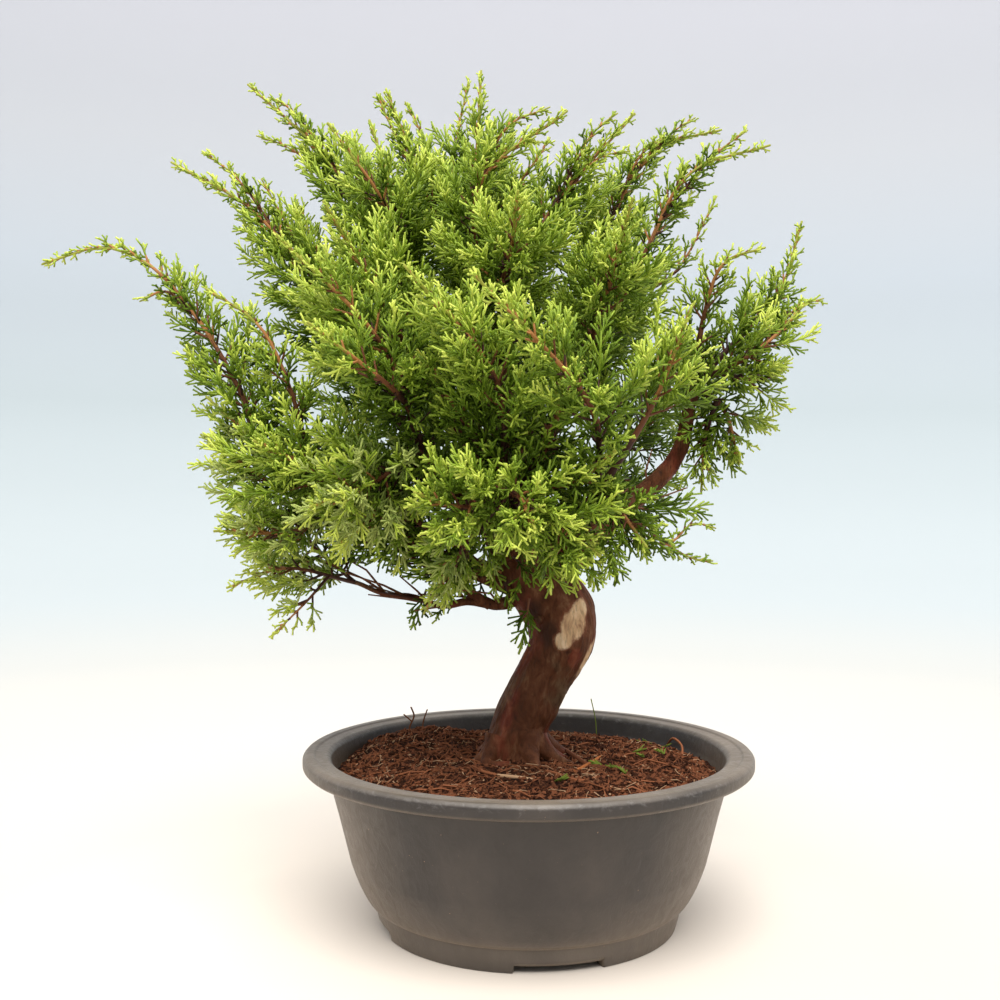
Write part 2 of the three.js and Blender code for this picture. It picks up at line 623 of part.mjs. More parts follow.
// The origin is under the middle of the plant's footprint
const extent = new THREE.Box3().setFromObject(plant);
const middle = extent.getCenter(v3(0, 0, 0));
plant.position.set(-middle.x, -middle.y, -extent.min.z);
export default plant;
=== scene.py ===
import math

import bpy
import numpy as np
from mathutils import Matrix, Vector, noise

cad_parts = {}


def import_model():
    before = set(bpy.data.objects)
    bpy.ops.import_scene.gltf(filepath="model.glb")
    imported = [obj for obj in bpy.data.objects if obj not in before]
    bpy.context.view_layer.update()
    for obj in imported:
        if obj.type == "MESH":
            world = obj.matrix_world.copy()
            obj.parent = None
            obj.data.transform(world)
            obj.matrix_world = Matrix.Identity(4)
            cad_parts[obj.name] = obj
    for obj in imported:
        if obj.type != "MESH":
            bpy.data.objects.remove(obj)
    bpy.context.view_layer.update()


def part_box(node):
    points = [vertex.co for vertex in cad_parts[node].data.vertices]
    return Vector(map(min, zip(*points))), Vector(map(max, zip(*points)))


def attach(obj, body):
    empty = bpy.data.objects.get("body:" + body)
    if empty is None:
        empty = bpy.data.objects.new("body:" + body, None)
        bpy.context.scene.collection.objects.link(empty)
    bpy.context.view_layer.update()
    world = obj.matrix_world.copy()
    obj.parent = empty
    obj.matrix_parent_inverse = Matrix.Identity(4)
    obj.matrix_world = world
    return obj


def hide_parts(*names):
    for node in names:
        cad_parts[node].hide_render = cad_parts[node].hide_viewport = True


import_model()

# Every size is in millimetres, measured from the axis of the round pot with its foot at z = 0, as in the
# part's source, with -Y towards the viewer and +X to the viewer's right.
pot_low, pot_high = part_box("pot")
AXIS = np.array([(pot_low.x + pot_high.x) / 2, (pot_low.y + pot_high.y) / 2, pot_low.z])
UP = np.array([0.0, 0.0, 1.0])

# The pot
RIM_RADIUS = 140
RIM_TOP = 107.6
RIM_UNDERSIDE = 97.7
RIM_INNER_RADIUS = 123
WAIST_RADIUS = 111
WAIST_HEIGHT = 42
BODY_TOP_RADIUS = 125
BODY_FOOT_RADIUS = 98
FOOT_RADIUS = 92
FOOT_HEIGHT = 15.5
FOOT_WALL = 7
FLOOR_UNDERSIDE = 9
INNER_RADIUS = 115
CUTOUTS = 4
CUTOUT_WIDTH = 50
CUTOUT_HEIGHT = 4.7
CUTOUT_TURN = math.radians(10)
POT_SIDES = 168

# The soil
GROUND = 102
SOIL_EDGE = 91.5
SOIL_RADIUS = 120
SEAT_RADIUS = 44
PILE_PLACE = (-84, 62)
PILE_SPREAD = 46
PILE_HEIGHT = 9
SOIL_RINGS = 90
SOIL_SECTORS = 220

# The trunk
TRUNK_LINE = [
    (-12.5, 0, 92), (-4, 0, 124), (10, 0, 153), (20.5, 1, 173), (19.5, 3, 192), (6, 6, 210),
    (-8, 8, 225), (-15, 10, 246), (-10, 12, 274), (-6, 14, 304),
]
TRUNK_RADII = [20, 17.7, 17.5, 20.5, 22.5, 20.5, 15.5, 12.5, 9.5, 6.5]
TRUNK_AROUND = 144
TRUNK_ALONG = 250
TRUNK_FOOT = 98.5
FOOT_GIRTH = 19
# Root flare: where round the trunk in degrees, and how far out it reaches
ROOTS = [(4, 36), (75, 30), (148, 28), (215, 28), (286, 30)]

# The boughs: name, where each leaves the trunk or the bough that carries it, tip, arch, radii
BOUGHS = [
    ("low_left", 0.53, (-105, -30, 214), -10, (4.8, 2.4)),
    ("left", 0.60, (-98, -22, 262), -13, (5.6, 3.4)),
    ("right_low", 0.54, (97, 21, 287), 3, (8, 5.6)),
    ("front_right", 0.56, (38, -75, 268), -4, (5.5, 3.5)),
    ("front", 0.655, (-15, -80, 265), -2, (5, 3.5)),
    ("front_left", 0.74, (-62, -62, 292), -4, (5, 3.5)),
    ("back_right", 0.64, (60, 72, 280), -6, (5.5, 3.5)),
    ("back", 0.72, (-5, 85, 290), -4, (5, 3.5)),
    ("back_left", 0.80, (-70, 68, 295), -4, (5, 3.5)),
    ("upper_left", 0.88, (-60, 8, 325), -5, (5, 3.8)),
    ("upper_right", 0.91, (30, 8, 330), -4, (5, 3.8)),
    ("top", 1, (-18, 18, 352), 0, (6, 3.8)),
    ("right_rise", "right_low", (105, 10, 336), 0, (4.8, 3.8)),
]
BOUGH_AROUND = 26
BOUGH_ALONG = 70
BOUGH_SWAY = 1.8

# Cut stubs: sides, and widths along them beside the radius
STUB_SIDES = 20
STUB_SHAPE = [1.5, 1.25, 1.1, 1.03, 1.0, 1.0, 1.0, 1.02, 1.0, 0.9]

# How thin a bough is in its outer part, beside the even taper of the source
SLIM_BOUGHS = {"low_left": 0.55}

# Thin limbs that part from a bough: bough, share, points, radii
SIDE_LIMBS = [
    ("low_left", 0.12, [(-44, -36, 224), (-66, -40, 237), (-80, -38, 248)], (2.6, 1.3)),
    ("low_left", 0.30, [(-56, -22, 219), (-74, -18, 230), (-88, -20, 241)], (2.2, 1.1)),
    ("left", 0.25, [(-48, -44, 240), (-66, -56, 252), (-84, -60, 270)], (2.4, 1.2)),
]

# The masses of foliage: name, bough, and shoots, each with the share of the first shoot where it forks,
# its points and its girth
MASSES = [
    ("low_left", "low_left", [
        (0, [(-148, -24, 222), (-184, -22, 210)], 28),
        (0.2, [(-132, -44, 204), (-152, -48, 184)], 20),
    ]),
    ("low_left_back", "low_left", [(0, [(-144, 5, 238), (-192, 18, 242)], 37)]),
    ("left_long", "left", [
        (0, [(-155, -30, 282), (-172, -32, 326), (-198, -34, 372), (-229, -35, 406), (-254, -36, 414),
             (-290, -36, 404)], 32),
        (0.12, [(-141, -50, 331), (-158, -56, 366), (-187, -62, 386)], 26),
    ]),
    ("left_front", "left", [
        (0, [(-124, -60, 280), (-154, -92, 298)], 44),
        (0.1, [(-104, -10, 290), (-117, 0, 324)], 30),
    ]),
    ("left_side", "left", [
        (0, [(-150, -24, 272), (-197, -32, 303)], 42),
        (0.1, [(-138, -40, 246), (-185, -52, 246)], 34),
        (0.3, [(-174, -40, 309), (-191, -44, 325)], 30),
    ]),
    ("upper_left_low", "upper_left", [(0, [(-126, 8, 386), (-171, 4, 443), (-222, 0, 473)], 38)]),
    ("upper_left_high", "upper_left", [
        (0, [(-88, 20, 420), (-130, 20, 482), (-178, 20, 527)], 40),
        (0.3, [(-84, -22, 436), (-119, -42, 486)], 36),
        (0.25, [(-84, -4, 451), (-98, -8, 497)], 28),
    ]),
    ("upper_left_back", "upper_left", [(0, [(-102, 70, 378), (-141, 106, 428)], 39)]),
    ("upper_left_front", "upper_left", [(0, [(-85, -55, 378), (-114, -100, 428)], 42)]),
    ("top_left", "top", [
        (0, [(-60, 28, 446), (-91, 30, 527)], 38),
        (0.25, [(-34, 45, 470), (-30, 50, 545)], 36),
        (0.15, [(-14, 84, 440), (-5, 120, 490)], 46),
    ]),
    ("top_right", "top", [(0, [(10, 12, 438), (67, 10, 506)], 37)]),
    ("top_front", "top", [
        (0, [(-30, -45, 448), (21, -60, 488)], 38),
        (0.2, [(-12, -80, 402), (-8, -118, 430)], 44),
    ]),
    ("upper_right_high", "upper_right", [(0, [(45, 44, 418), (84, 42, 491), (127, 42, 504)], 36)]),
    ("upper_right_out", "upper_right", [
        (0, [(70, -10, 412), (98, -20, 462), (144, -30, 476)], 28),
        (0.3, [(94, 18, 408), (122, 28, 458)], 16),
    ]),
    ("upper_right_front", "upper_right", [(0, [(44, -65, 385), (53, -118, 426)], 40)]),
    ("upper_right_back", "upper_right", [(0, [(50, 76, 388), (68, 126, 440)], 46)]),
    ("right_peak", "right_rise", [(0, [(144, 14, 376), (160, 12, 396), (172, 8, 438)], 28)]),
    ("right_up", "right_rise", [(0, [(107, -16, 376), (117, -30, 406), (140, -36, 414)], 26)]),
    ("right_out", "right_rise", [
        (0, [(140, -18, 355), (171, -14, 385)], 32),
        (0.2, [(139, -4, 338), (157, 0, 342)], 30),
    ]),
    ("right_drop", "right_rise", [
        (0, [(124, 14, 321), (133, 6, 286)], 34),
        (0.3, [(113, 14, 304), (110, 12, 268)], 28),
    ]),
    ("front_long", "front_right", [(0, [(32, -122, 312), (-32, -190, 377)], 36)]),
    ("front_right", "front_right", [(0, [(68, -92, 320), (85, -117, 370)], 39)]),
    ("front_right_low", "front_right", [
        (0, [(50, -94, 257), (62, -108, 240)], 34),
        (0.25, [(79, -56, 238), (96, -45, 250), (111, -38, 247)], 15),
    ]),
    ("front_low", "front", [
        (0, [(-8, -118, 268), (0, -160, 252)], 44),
        (0.15, [(-40, -118, 262), (-62, -140, 270)], 38),
        (0.1, [(14, -104, 250), (36, -120, 236)], 38),
    ]),
    ("front_rise", "front", [
        (0, [(-20, -118, 330), (-66, -152, 385)], 42),
        (0.12, [(-42, -98, 316), (-62, -114, 346)], 34),
    ]),
    ("front_middle", "front", [
        (0, [(10, -96, 298), (18, -126, 350)], 40),
        (0.12, [(20, -104, 274), (44, -120, 292)], 34),
    ]),
    ("front_drop", "front", [(0, [(-42, -72, 232), (-62, -58, 198)], 28)]),
    ("front_left", "front_left", [
        (0, [(-82, -104, 350), (-133, -140, 403)], 40),
        (0.2, [(-76, -122, 326), (-112, -172, 354)], 36),
    ]),
    ("front_left_low", "front_left", [
        (0, [(-90, -90, 274), (-118, -126, 262)], 44),
        (0.15, [(-90, -72, 256), (-110, -82, 238)], 32),
    ]),
    ("back_left", "back_left", [(0, [(-110, 96, 345), (-156, 126, 392)], 48)]),
    ("back_left_low", "back_left", [(0, [(-112, 88, 284), (-160, 92, 264)], 44)]),
    ("back", "back", [(0, [(0, 128, 345), (5, 165, 402)], 50)]),
    ("back_low", "back", [(0, [(-14, 130, 288), (-20, 172, 272)], 46)]),
    ("back_right", "back_right", [(0, [(92, 106, 328), (136, 130, 382)], 48)]),
    ("back_right_low", "back_right", [(0, [(72, 100, 268), (62, 138, 250)], 38)]),
]

# Slim young shoots that leave the first shoot of a mass near its end: mass, share, points and girth
LEADERS = [
    ("top_left", 0.55, [(-87, 28, 501), (-97, 28, 524)], 13),
    ("top_left", 0.50, [(-69, 34, 500), (-79, 34, 520)], 15),
    ("top_left", 0.45, [(-46, 48, 500), (-38, 52, 540)], 15),
    ("top_front", 0.55, [(-14, -38, 484), (12, -36, 497)], 15),
    ("top_front", 0.45, [(2, -42, 462), (12, -40, 478)], 15),
    ("top_right", 0.55, [(42, 6, 494), (56, 6, 505)], 15),
    ("upper_right_out", 0.60, [(112, -22, 472), (132, -22, 487)], 15),
    ("upper_right_high", 0.50, [(75, 40, 488), (93, 40, 500)], 13),
    ("upper_left_low", 0.55, [(-182, 6, 464), (-203, 6, 481)], 15),
    ("upper_left_high", 0.50, [(-150, 22, 486), (-173, 22, 495)], 13),
    ("upper_left_high", 0.62, [(-152, 20, 512), (-165, 20, 519)], 13),
    ("left_long", 0.62, [(-217, -36, 388), (-232, -36, 382)], 12),
    ("front_right_low", 0.35, [(95, -50, 230), (108, -46, 228)], 9),
    ("upper_left_low", 0.36, [(-157, 6, 446), (-167, 6, 464)], 14),
    ("upper_left_low", 0.22, [(-136, 6, 428), (-143, 6, 447)], 15),
    ("top_right", 0.45, [(44, 8, 477), (64, 8, 482)], 11),
    ("right_out", 0.60, [(166, -12, 382), (181, -12, 387)], 12),
    ("top_left", 0.62, [(-86, 30, 512), (-97, 30, 522)], 12),
    ("upper_right_high", 0.72, [(96, 42, 503), (110, 42, 512)], 11),
]

# The foliage rule of the source, carried finer: twigs leave every shoot in a spiral, sprays leave every
# twig, and branchlets leave every spray
FIRST_SEED = 101
INNER_SEED = 200
SHADED_SEED = 300
BARE_SEED = 400
SAMPLES = 24
START_WIDTH = 0.6
WIDEST_SHARE = 0.32
TIP_WIDTH = 0.14
THINNING = 1.15
BLADE_TURN = math.pi * (3 - math.sqrt(5))
BASE_ANGLE = math.radians(64)
TIP_ANGLE = math.radians(28)
LEAST_REACH = 0.85
MOST_REACH = 1.1
SHRINK = 0.82
TRIES = 6
LIMB_CLEAR = 1.5
SPRAY_ROOM = 4.5
TIP_ROOM = -1
TIP_CROWDING = 1.3
TIP_FINGER = 5
TIP_SLIMNESS = 0.38
PLUME_WIDTH = 6.5
TWIG_SPACING = 3.3
TWIG_SLACK = 1.06
SPRAY_SPACING = 2.5
SPRAY_SLACK = 1.35
SHORTEST_SPRAY = 4.5
LONGEST_SPRAY = 13
BRANCHLET_SPACING = 2.0
SHORTEST_BRANCHLET = 3.2
LONGEST_BRANCHLET = 8.6
BRANCHLET_RADIUS = 0.67
SPRAY_RADIUS = 0.66
TWIG_RADIUS = 0.85
INNER_SPACING = 2.4
INNER_REACH = (16, 36)
SHADED_SPACING = 5.5
SHADED_SHARE = 0.62
MOST_TRIANGLES = 190000

# Shoots that are bare up to a share of their length: mass, number of the shoot, share
LEAST_BARE = 0.03
BARE_FEET = {
    ("low_left", 0): 0.15, ("low_left", 1): 0.25, ("front_right_low", 1): 0.58, ("front_right", 0): 0.38,
    ("right_drop", 0): 0.12, ("upper_right_out", 1): 0.35,
}

# Boughs without shaded twigs, with the share from which the others carry them
BARE_BOUGHS = ("low_left", "right_low")
INNER_FROM = 0.30

# How many leafless twigs a bough carries, from which share over which stretch, and how long they are
BARE_FROM = 0.08
BARE_STRETCH = 0.8
BARE_REACH = (22, 48)
BARE_TWIGS = {"low_left": 16, "left": 16, "front": 10, "front_right": 10, "front_left": 8, "right_low": 6}

# Stretches of a shoot that are thin of twigs in front, so that the stem shows: mass, number, shares
THINNED_SHARE = 0.6
SHOWN_STEMS = {
    ("left_long", 0): (0.30, 0.85), ("left_long", 1): (0.35, 0.75), ("upper_left_low", 0): (0.60, 0.85),
    ("upper_left_high", 0): (0.50, 0.88), ("upper_left_high", 1): (0.45, 0.85),
    ("top_front", 0): (0.35, 0.80), ("top_right", 0): (0.40, 0.75), ("upper_right_high", 0): (0.40, 0.75),
    ("upper_right_out", 0): (0.35, 0.85), ("right_up", 0): (0.30, 0.80), ("right_out", 0): (0.30, 0.80),
    ("front_left", 0): (0.35, 0.85), ("front_left", 1): (0.15, 0.75), ("front_long", 0): (0.10, 0.60),
    ("front_rise", 0): (0.45, 0.75),
}

# Small sprigs that hang from the low limbs and in front of the trunk's top: foot, tip and lightness. The
# dark ones in front of the trunk's top take dark greens as painted shade.
SPRIGS = [
    ((0, -25, 204), (-4, -27, 176), 0.22),
    ((-26, -32, 224), (-46, -38, 208), 0.60),
    ((-22, -34, 226), (-20, -38, 206), 0.45),
    ((-15, -30, 214), (-12, -32, 198), 0.10),
    ((-10, -34, 230), (6, -38, 214), 0.10),
    ((4, -34, 233), (18, -38, 219), 0.12),
    ((-4, -36, 224), (-9, -38, 205), 0.14),
    ((-14, -34, 238), (-24, -38, 219), 0.25),
    ((-34, -34, 220), (-56, -40, 204), 0.30),
    ((-6, -26, 236), (4, -30, 220), 0.10),
    ((14, -30, 236), (24, -34, 216), 0.12),
    ((22, -44, 240), (27, -48, 214), 0.50),
    ((36, -24, 240), (40, -28, 212), 0.10),
    ((46, -34, 246), (53, -38, 216), 0.15),
    ((-62, -30, 210), (-70, -34, 188), 0.05),
    ((-48, -26, 206), (-56, -28, 192), 0.05),
    ((30, -30, 242), (16, -36, 226), 0.20),
    ((-10, -34, 238), (-20, -40, 224), 0.15),
]

# Plain colours of the foliage, from the young tips to the dark inside, and two greyer ones of older sprays.
# The darker greens of the inside are in part painted shade.
GREENS = [
    (0.60, 0.68, 0.10), (0.40, 0.50, 0.050), (0.25, 0.35, 0.026), (0.15, 0.235, 0.013),
    (0.09, 0.148, 0.008), (0.042, 0.075, 0.004), (0.42, 0.49, 0.12), (0.22, 0.29, 0.055),
]
GREEN_LEVELS = [0.20, 0.36, 0.50, 0.64, 0.80]
OLDER_GREENS = (6, 7)
GLOSS = [0.34, 0.32, 0.28, 0.22, 0.14, 0.08, 0.34, 0.26]
OLDER_MASSES = ["low_left", "low_left_back", "left_side", "front_left_low", "front_drop", "back_left_low"]
WOODS = [(0.060, 0.022, 0.014), (0.17, 0.060, 0.026), (0.42, 0.18, 0.058), (0.34, 0.35, 0.05)]

# Painted light and shade: how much lighter or darker than others the sprays of a mass are coloured, to
# stand in for the light that falls on each mass
PAINTED_LIGHT_LIFTS = {"low_left": 0.24, "low_left_back": 0.24, "left_side": 0.04, "front_right_low": -0.10,
         "right_out": 0.07, "right_up": 0.05, "front_left_low": 0.06}


def world(points):
    """Millimetres from the pot's axis as metres in the row's frame."""
    return np.asarray(points, float) * 0.001 + AXIS


def unit(vectors):
    return vectors / np.maximum(np.linalg.norm(vectors, axis=-1, keepdims=True), 1e-9)


def smoothstep(low, high, x):
    t = np.clip((x - low) / (high - low), 0, 1)
    return t * t * (3 - 2 * t)


def ring_faces(rings, sides, turned=False):
    """Quads between rings of points, or the same turned over."""
    ring = np.arange(rings - 1)[:, None] * sides
    side = np.arange(sides)[None]
    after = (side + 1) % sides
    corners = [ring + side, ring + after, ring + sides + after, ring + sides + side]
    return np.stack(corners[:1] + corners[:0:-1] if turned else corners, -1).reshape(-1, 4)


def turned_points(r, z, angles):
    """Rings of points about the pot's axis."""
    return np.stack([r * np.cos(angles), r * np.sin(angles), z], -1).reshape(-1, 3)


def mesh_object(name, points, faces, materials, face_material=None, smooth=True):
    """An object with a mesh from arrays, in millimetres."""
    mesh = bpy.data.meshes.new(name)
    mesh.vertices.add(len(points))
    mesh.vertices.foreach_set("co", world(points).ravel())
    count, corners = faces.shape
    mesh.loops.add(count * corners)
    mesh.loops.foreach_set("vertex_index", faces.ravel().astype(np.int32))
    mesh.polygons.add(count)
    mesh.polygons.foreach_set("loop_start", np.arange(0, count * corners, corners, dtype=np.int32))
    mesh.polygons.foreach_set("use_smooth", np.full(count, smooth))
    if face_material is not None:
        mesh.polygons.foreach_set("material_index", face_material.astype(np.int32))
    mesh.update(calc_edges=True)
    mesh.validate()
    for material in materials:
        mesh.materials.append(material)
    piece = bpy.data.objects.new(name, mesh)
    bpy.context.scene.collection.objects.link(piece)
    return piece


def mesh_piece(name, points, faces, materials, slot, nodes, **others):
    """A piece of the part, which rides on the one body and replaces its nodes."""
    piece = mesh_object(name, points, faces, materials, **others)
    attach(piece, "root")
    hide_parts(*nodes)


# Materials
def new_material(name, color, roughness, specular):
    material = bpy.data.materials.new(name)
    material.use_nodes = True
    shader = material.node_tree.nodes["Principled BSDF"]
    shader.inputs["Base Color"].default_value = (*color, 1)
    shader.inputs["Roughness"].default_value = roughness
    shader.inputs["Specular IOR Level"].default_value = specular
    return material, material.node_tree, shader


def lay_color(tree, shader, color):
    """The base colour comes from a node."""
    tree.links.new(color, shader.inputs["Base Color"])


def noise_node(tree, scale, stretch=(1, 1, 1), detail=6.0, roughness=0.6, distortion=0.0, output="Fac"):
    """A noise pattern in the piece's own metres, scale times finer than 1 m and stretched."""
    place = tree.nodes.new("ShaderNodeTexCoord")
    mapping = tree.nodes.new("ShaderNodeMapping")
    mapping.inputs["Scale"].default_value = stretch
    pattern = tree.nodes.new("ShaderNodeTexNoise")
    pattern.inputs["Scale"].default_value = scale
    pattern.inputs["Detail"].default_value = detail
    pattern.inputs["Roughness"].default_value = roughness
    pattern.inputs["Distortion"].default_value = distortion
    tree.links.new(place.outputs["Object"], mapping.inputs["Vector"])
    tree.links.new(mapping.outputs["Vector"], pattern.inputs["Vector"])
    return pattern.outputs[output]


def ramp_node(tree, source, stops):
    """Colours by the value of a pattern."""
    ramp = tree.nodes.new("ShaderNodeValToRGB")
    marks = ramp.color_ramp.elements
    for mark, (place, color) in zip(marks, (stops[0], stops[-1])):
        mark.position = place
        mark.color = (*color, 1)
    for place, color in stops[1:-1]:
        marks.new(place).color = (*color, 1)
    tree.links.new(source, ramp.inputs["Fac"])
    return ramp.outputs["Color"]


def above(tree, source, least, edge):
    """Rises from 0 to 1 over an edge, from a least value on."""
    return ramp_node(tree, source, [(least, (0, 0, 0)), (least + edge, (1, 1, 1))])


def mix_node(tree, factor, first, second):
    """Lays a second colour, from a node or plain, over a first."""
    mix = tree.nodes.new("ShaderNodeMix")
    mix.data_type = "RGBA"
    tree.links.new(factor, mix.inputs["Factor"])
    tree.links.new(first, mix.inputs["A"])
    if isinstance(second, tuple):
        mix.inputs["B"].default_value = (*second, 1)
    else:
        tree.links.new(second, mix.inputs["B"])
    return mix.outputs["Result"]


def add_bump(tree, shader, height, strength, distance):
    bump = tree.nodes.new("ShaderNodeBump")
    bump.inputs["Strength"].default_value = strength
    bump.inputs["Distance"].default_value = distance
    tree.links.new(height, bump.inputs["Height"])
    tree.links.new(bump.outputs["Normal"], shader.inputs["Normal"])


def math_node(tree, operation, first, second):
    node = tree.nodes.new("ShaderNodeMath")
    node.operation = operation
    for socket, value in zip(node.inputs, (first, second)):
        if isinstance(value, (int, float)):
            socket.default_value = value
        else:
            tree.links.new(value, socket)
    return node.outputs["Value"]


def place_node(tree):
    """The place on a piece, and its height."""
    place = tree.nodes.new("ShaderNodeTexCoord").outputs["Object"]
    split = tree.nodes.new("ShaderNodeSeparateXYZ")
    tree.links.new(place, split.inputs["Vector"])
    return place, split.outputs["Z"]


def patch_mask(tree, centre, half, lean, ragged, edge):
    """1 inside a leaning egg shape, in millimetres from the pot's axis, with a ragged edge."""
    place = tree.nodes.new("ShaderNodeTexCoord")
    mapping = tree.nodes.new("ShaderNodeMapping")
    mapping.vector_type = "TEXTURE"
    mapping.inputs["Location"].default_value = world(centre)
    mapping.inputs["Rotation"].default_value = (0, math.radians(lean), 0)
    mapping.inputs["Scale"].default_value = [size * 0.001 for size in half]
    egg = tree.nodes.new("ShaderNodeTexGradient")
    egg.gradient_type = "SPHERICAL"
    tree.links.new(place.outputs["Object"], mapping.inputs["Vector"])
    tree.links.new(mapping.outputs["Vector"], egg.inputs["Vector"])
    shaken = math_node(tree, "MULTIPLY", math_node(tree, "SUBTRACT", ragged, 0.5), 0.9)
    total = math_node(tree, "ADD", egg.outputs["Fac"], shaken)
    return above(tree, total, 0.22, edge)


# The tones of bark, bare wood, cut wood, soil and plastic: value of the pattern, colour
BROWN_BARK = [
    (0.30, (0.056, 0.017, 0.007)), (0.44, (0.100, 0.032, 0.012)), (0.58, (0.148, 0.052, 0.022)),
    (0.72, (0.24, 0.108, 0.052))]
NEW_BARK = [(0.30, (0.085, 0.018, 0.010)), (0.50, (0.165, 0.036, 0.017)), (0.72, (0.27, 0.085, 0.042))]
OLIVE_BARK = [(0.32, (0.065, 0.034, 0.017)), (0.52, (0.155, 0.088, 0.045)), (0.70, (0.25, 0.165, 0.095))]
PALE_WOOD = [
    (0.34, (0.30, 0.14, 0.08)), (0.43, (0.56, 0.33, 0.18)), (0.52, (0.76, 0.50, 0.28)),
    (0.66, (0.86, 0.64, 0.42))]
CUT_WOOD = [(0.32, (0.040, 0.016, 0.008)), (0.52, (0.130, 0.060, 0.030)), (0.70, (0.26, 0.14, 0.07))]
DRY_SOIL = [
    (0.38, (0.012, 0.004, 0.002)), (0.48, (0.062, 0.021, 0.010)), (0.57, (0.18, 0.064, 0.030)),
    (0.68, (0.45, 0.25, 0.13))]
DAMP_SOIL = [(0.40, (0.008, 0.003, 0.002)), (0.55, (0.050, 0.016, 0.008)), (0.72, (0.17, 0.065, 0.030))]
PLASTIC = [
    (0.32, (0.0125, 0.0085, 0.0068)), (0.52, (0.0195, 0.0145, 0.0125)), (0.70, (0.036, 0.027, 0.022))]
OLD_BARK_TONE = (0.042, 0.016, 0.009)
RUST_TONE = (0.27, 0.095, 0.050)
CRACK_TONE = (0.026, 0.012, 0.008)
# The pale warm tone of the painted sheen where the pot's wall is seen edge on
PAINTED_SHEEN_TONE = (0.19, 0.135, 0.085)
DUST_TONE = (0.34, 0.275, 0.21)
SCUFF_TONE = (0.30, 0.28, 0.265)
EARTH_TONE = (0.30, 0.19, 0.11)
# How dusty and how scuffed the pot is at a height in metres
DUST_BANDS = [(0.0, 0.2), (0.013, 0.34), (0.022, 0.16), (0.045, 0.04), (0.1045, 0.05), (0.1066, 0.42)]
SCUFF_BANDS = [
    (0.0, 0.40), (0.016, 0.44), (0.024, 0.36), (0.094, 0.36), (0.0985, 0.42), (0.1035, 0.50),
    (0.1058, 0.56), (0.1072, 0.46)]


def bark_material(name, flaky, bare, red, dark):
    """Thin reddish bark: streaks along the limb, redder and paler areas, and patches of bare wood, of red
    new bark and of dark old bark. Flaky bark is rougher."""
    material, tree, shader = new_material(name, (0.08, 0.034, 0.02), 0.6, 0.14)
    streaks = noise_node(tree, 125, (1, 1, 0.5 - 0.25 * flaky), detail=8.0, roughness=0.62, distortion=0.9)
    fine = noise_node(tree, 700, (1, 1, 0.2), detail=5.0)
    areas = noise_node(tree, 42, (1, 1, 0.35), detail=3.0)
    others = noise_node(tree, 30, (1, 1, 0.6), detail=4.0, output="Color")
    red_tones = ramp_node(tree, streaks, NEW_BARK)
    color = mix_node(tree, above(tree, areas, 0.54, 0.10), ramp_node(tree, streaks, BROWN_BARK), red_tones)
    for centre, half, lean, edge in red:
        color = mix_node(tree, patch_mask(tree, centre, half, lean, streaks, edge), color, red_tones)
    color = mix_node(tree, above(tree, others, 0.56, 0.10), color, ramp_node(tree, streaks, OLIVE_BARK))
    for centre, half, lean, edge in dark:
        mask = math_node(tree, "MULTIPLY", patch_mask(tree, centre, half, lean, streaks, edge), 0.75)
        color = mix_node(tree, mask, color, OLD_BARK_TONE)
    # Bare wood has a torn edge of rusty bark round it
    torn = noise_node(tree, 260, detail=6.0, roughness=0.7, distortion=0.8)
    ragged = math_node(
        tree, "ADD", math_node(tree, "MULTIPLY", streaks, 0.6), math_node(tree, "MULTIPLY", torn, 0.4))
    for centre, half, lean, _ in bare:
        wider = [size * 1.22 for size in half]
        mask = math_node(tree, "MULTIPLY", patch_mask(tree, centre, wider, lean, ragged, 0.2), 0.7)
        color = mix_node(tree, mask, color, RUST_TONE)
    wood = ramp_node(tree, noise_node(tree, 110, (1, 1, 0.45), detail=7.0, distortion=0.8), PALE_WOOD)
    for centre, half, lean, edge in bare:
        color = mix_node(tree, patch_mask(tree, centre, half, lean, ragged, edge), color, wood)
    depth = 0.35 + 0.4 * flaky
    cracks = ramp_node(tree, fine, [(0.34, (depth, depth, depth)), (0.46, (0, 0, 0))])
    lay_color(tree, shader, mix_node(tree, cracks, color, CRACK_TONE))
    height = math_node(tree, "ADD", streaks, math_node(tree, "MULTIPLY", fine, 0.7))
    add_bump(tree, shader, height, 0.5 + 0.4 * flaky, 0.0022)
    return material


def cut_wood_material():
    material, tree, shader = new_material("cut_wood", (0.13, 0.06, 0.03), 0.7, 0.2)
    lay_color(tree, shader, ramp_node(tree, noise_node(tree, 400, distortion=0.8), CUT_WOOD))
    return material


def soil_material():
    material, tree, shader = new_material("soil", (0.05, 0.02, 0.012), 0.95, 0.1)
    lumps = noise_node(tree, 300, detail=8.0, roughness=0.75)
    damp = above(tree, noise_node(tree, 24, detail=3.0), 0.44, 0.14)
    dry, wet = (ramp_node(tree, lumps, tones) for tones in (DRY_SOIL, DAMP_SOIL))
    lay_color(tree, shader, mix_node(tree, damp, dry, wet))
    add_bump(tree, shader, lumps, 1.0, 0.003)
    return material


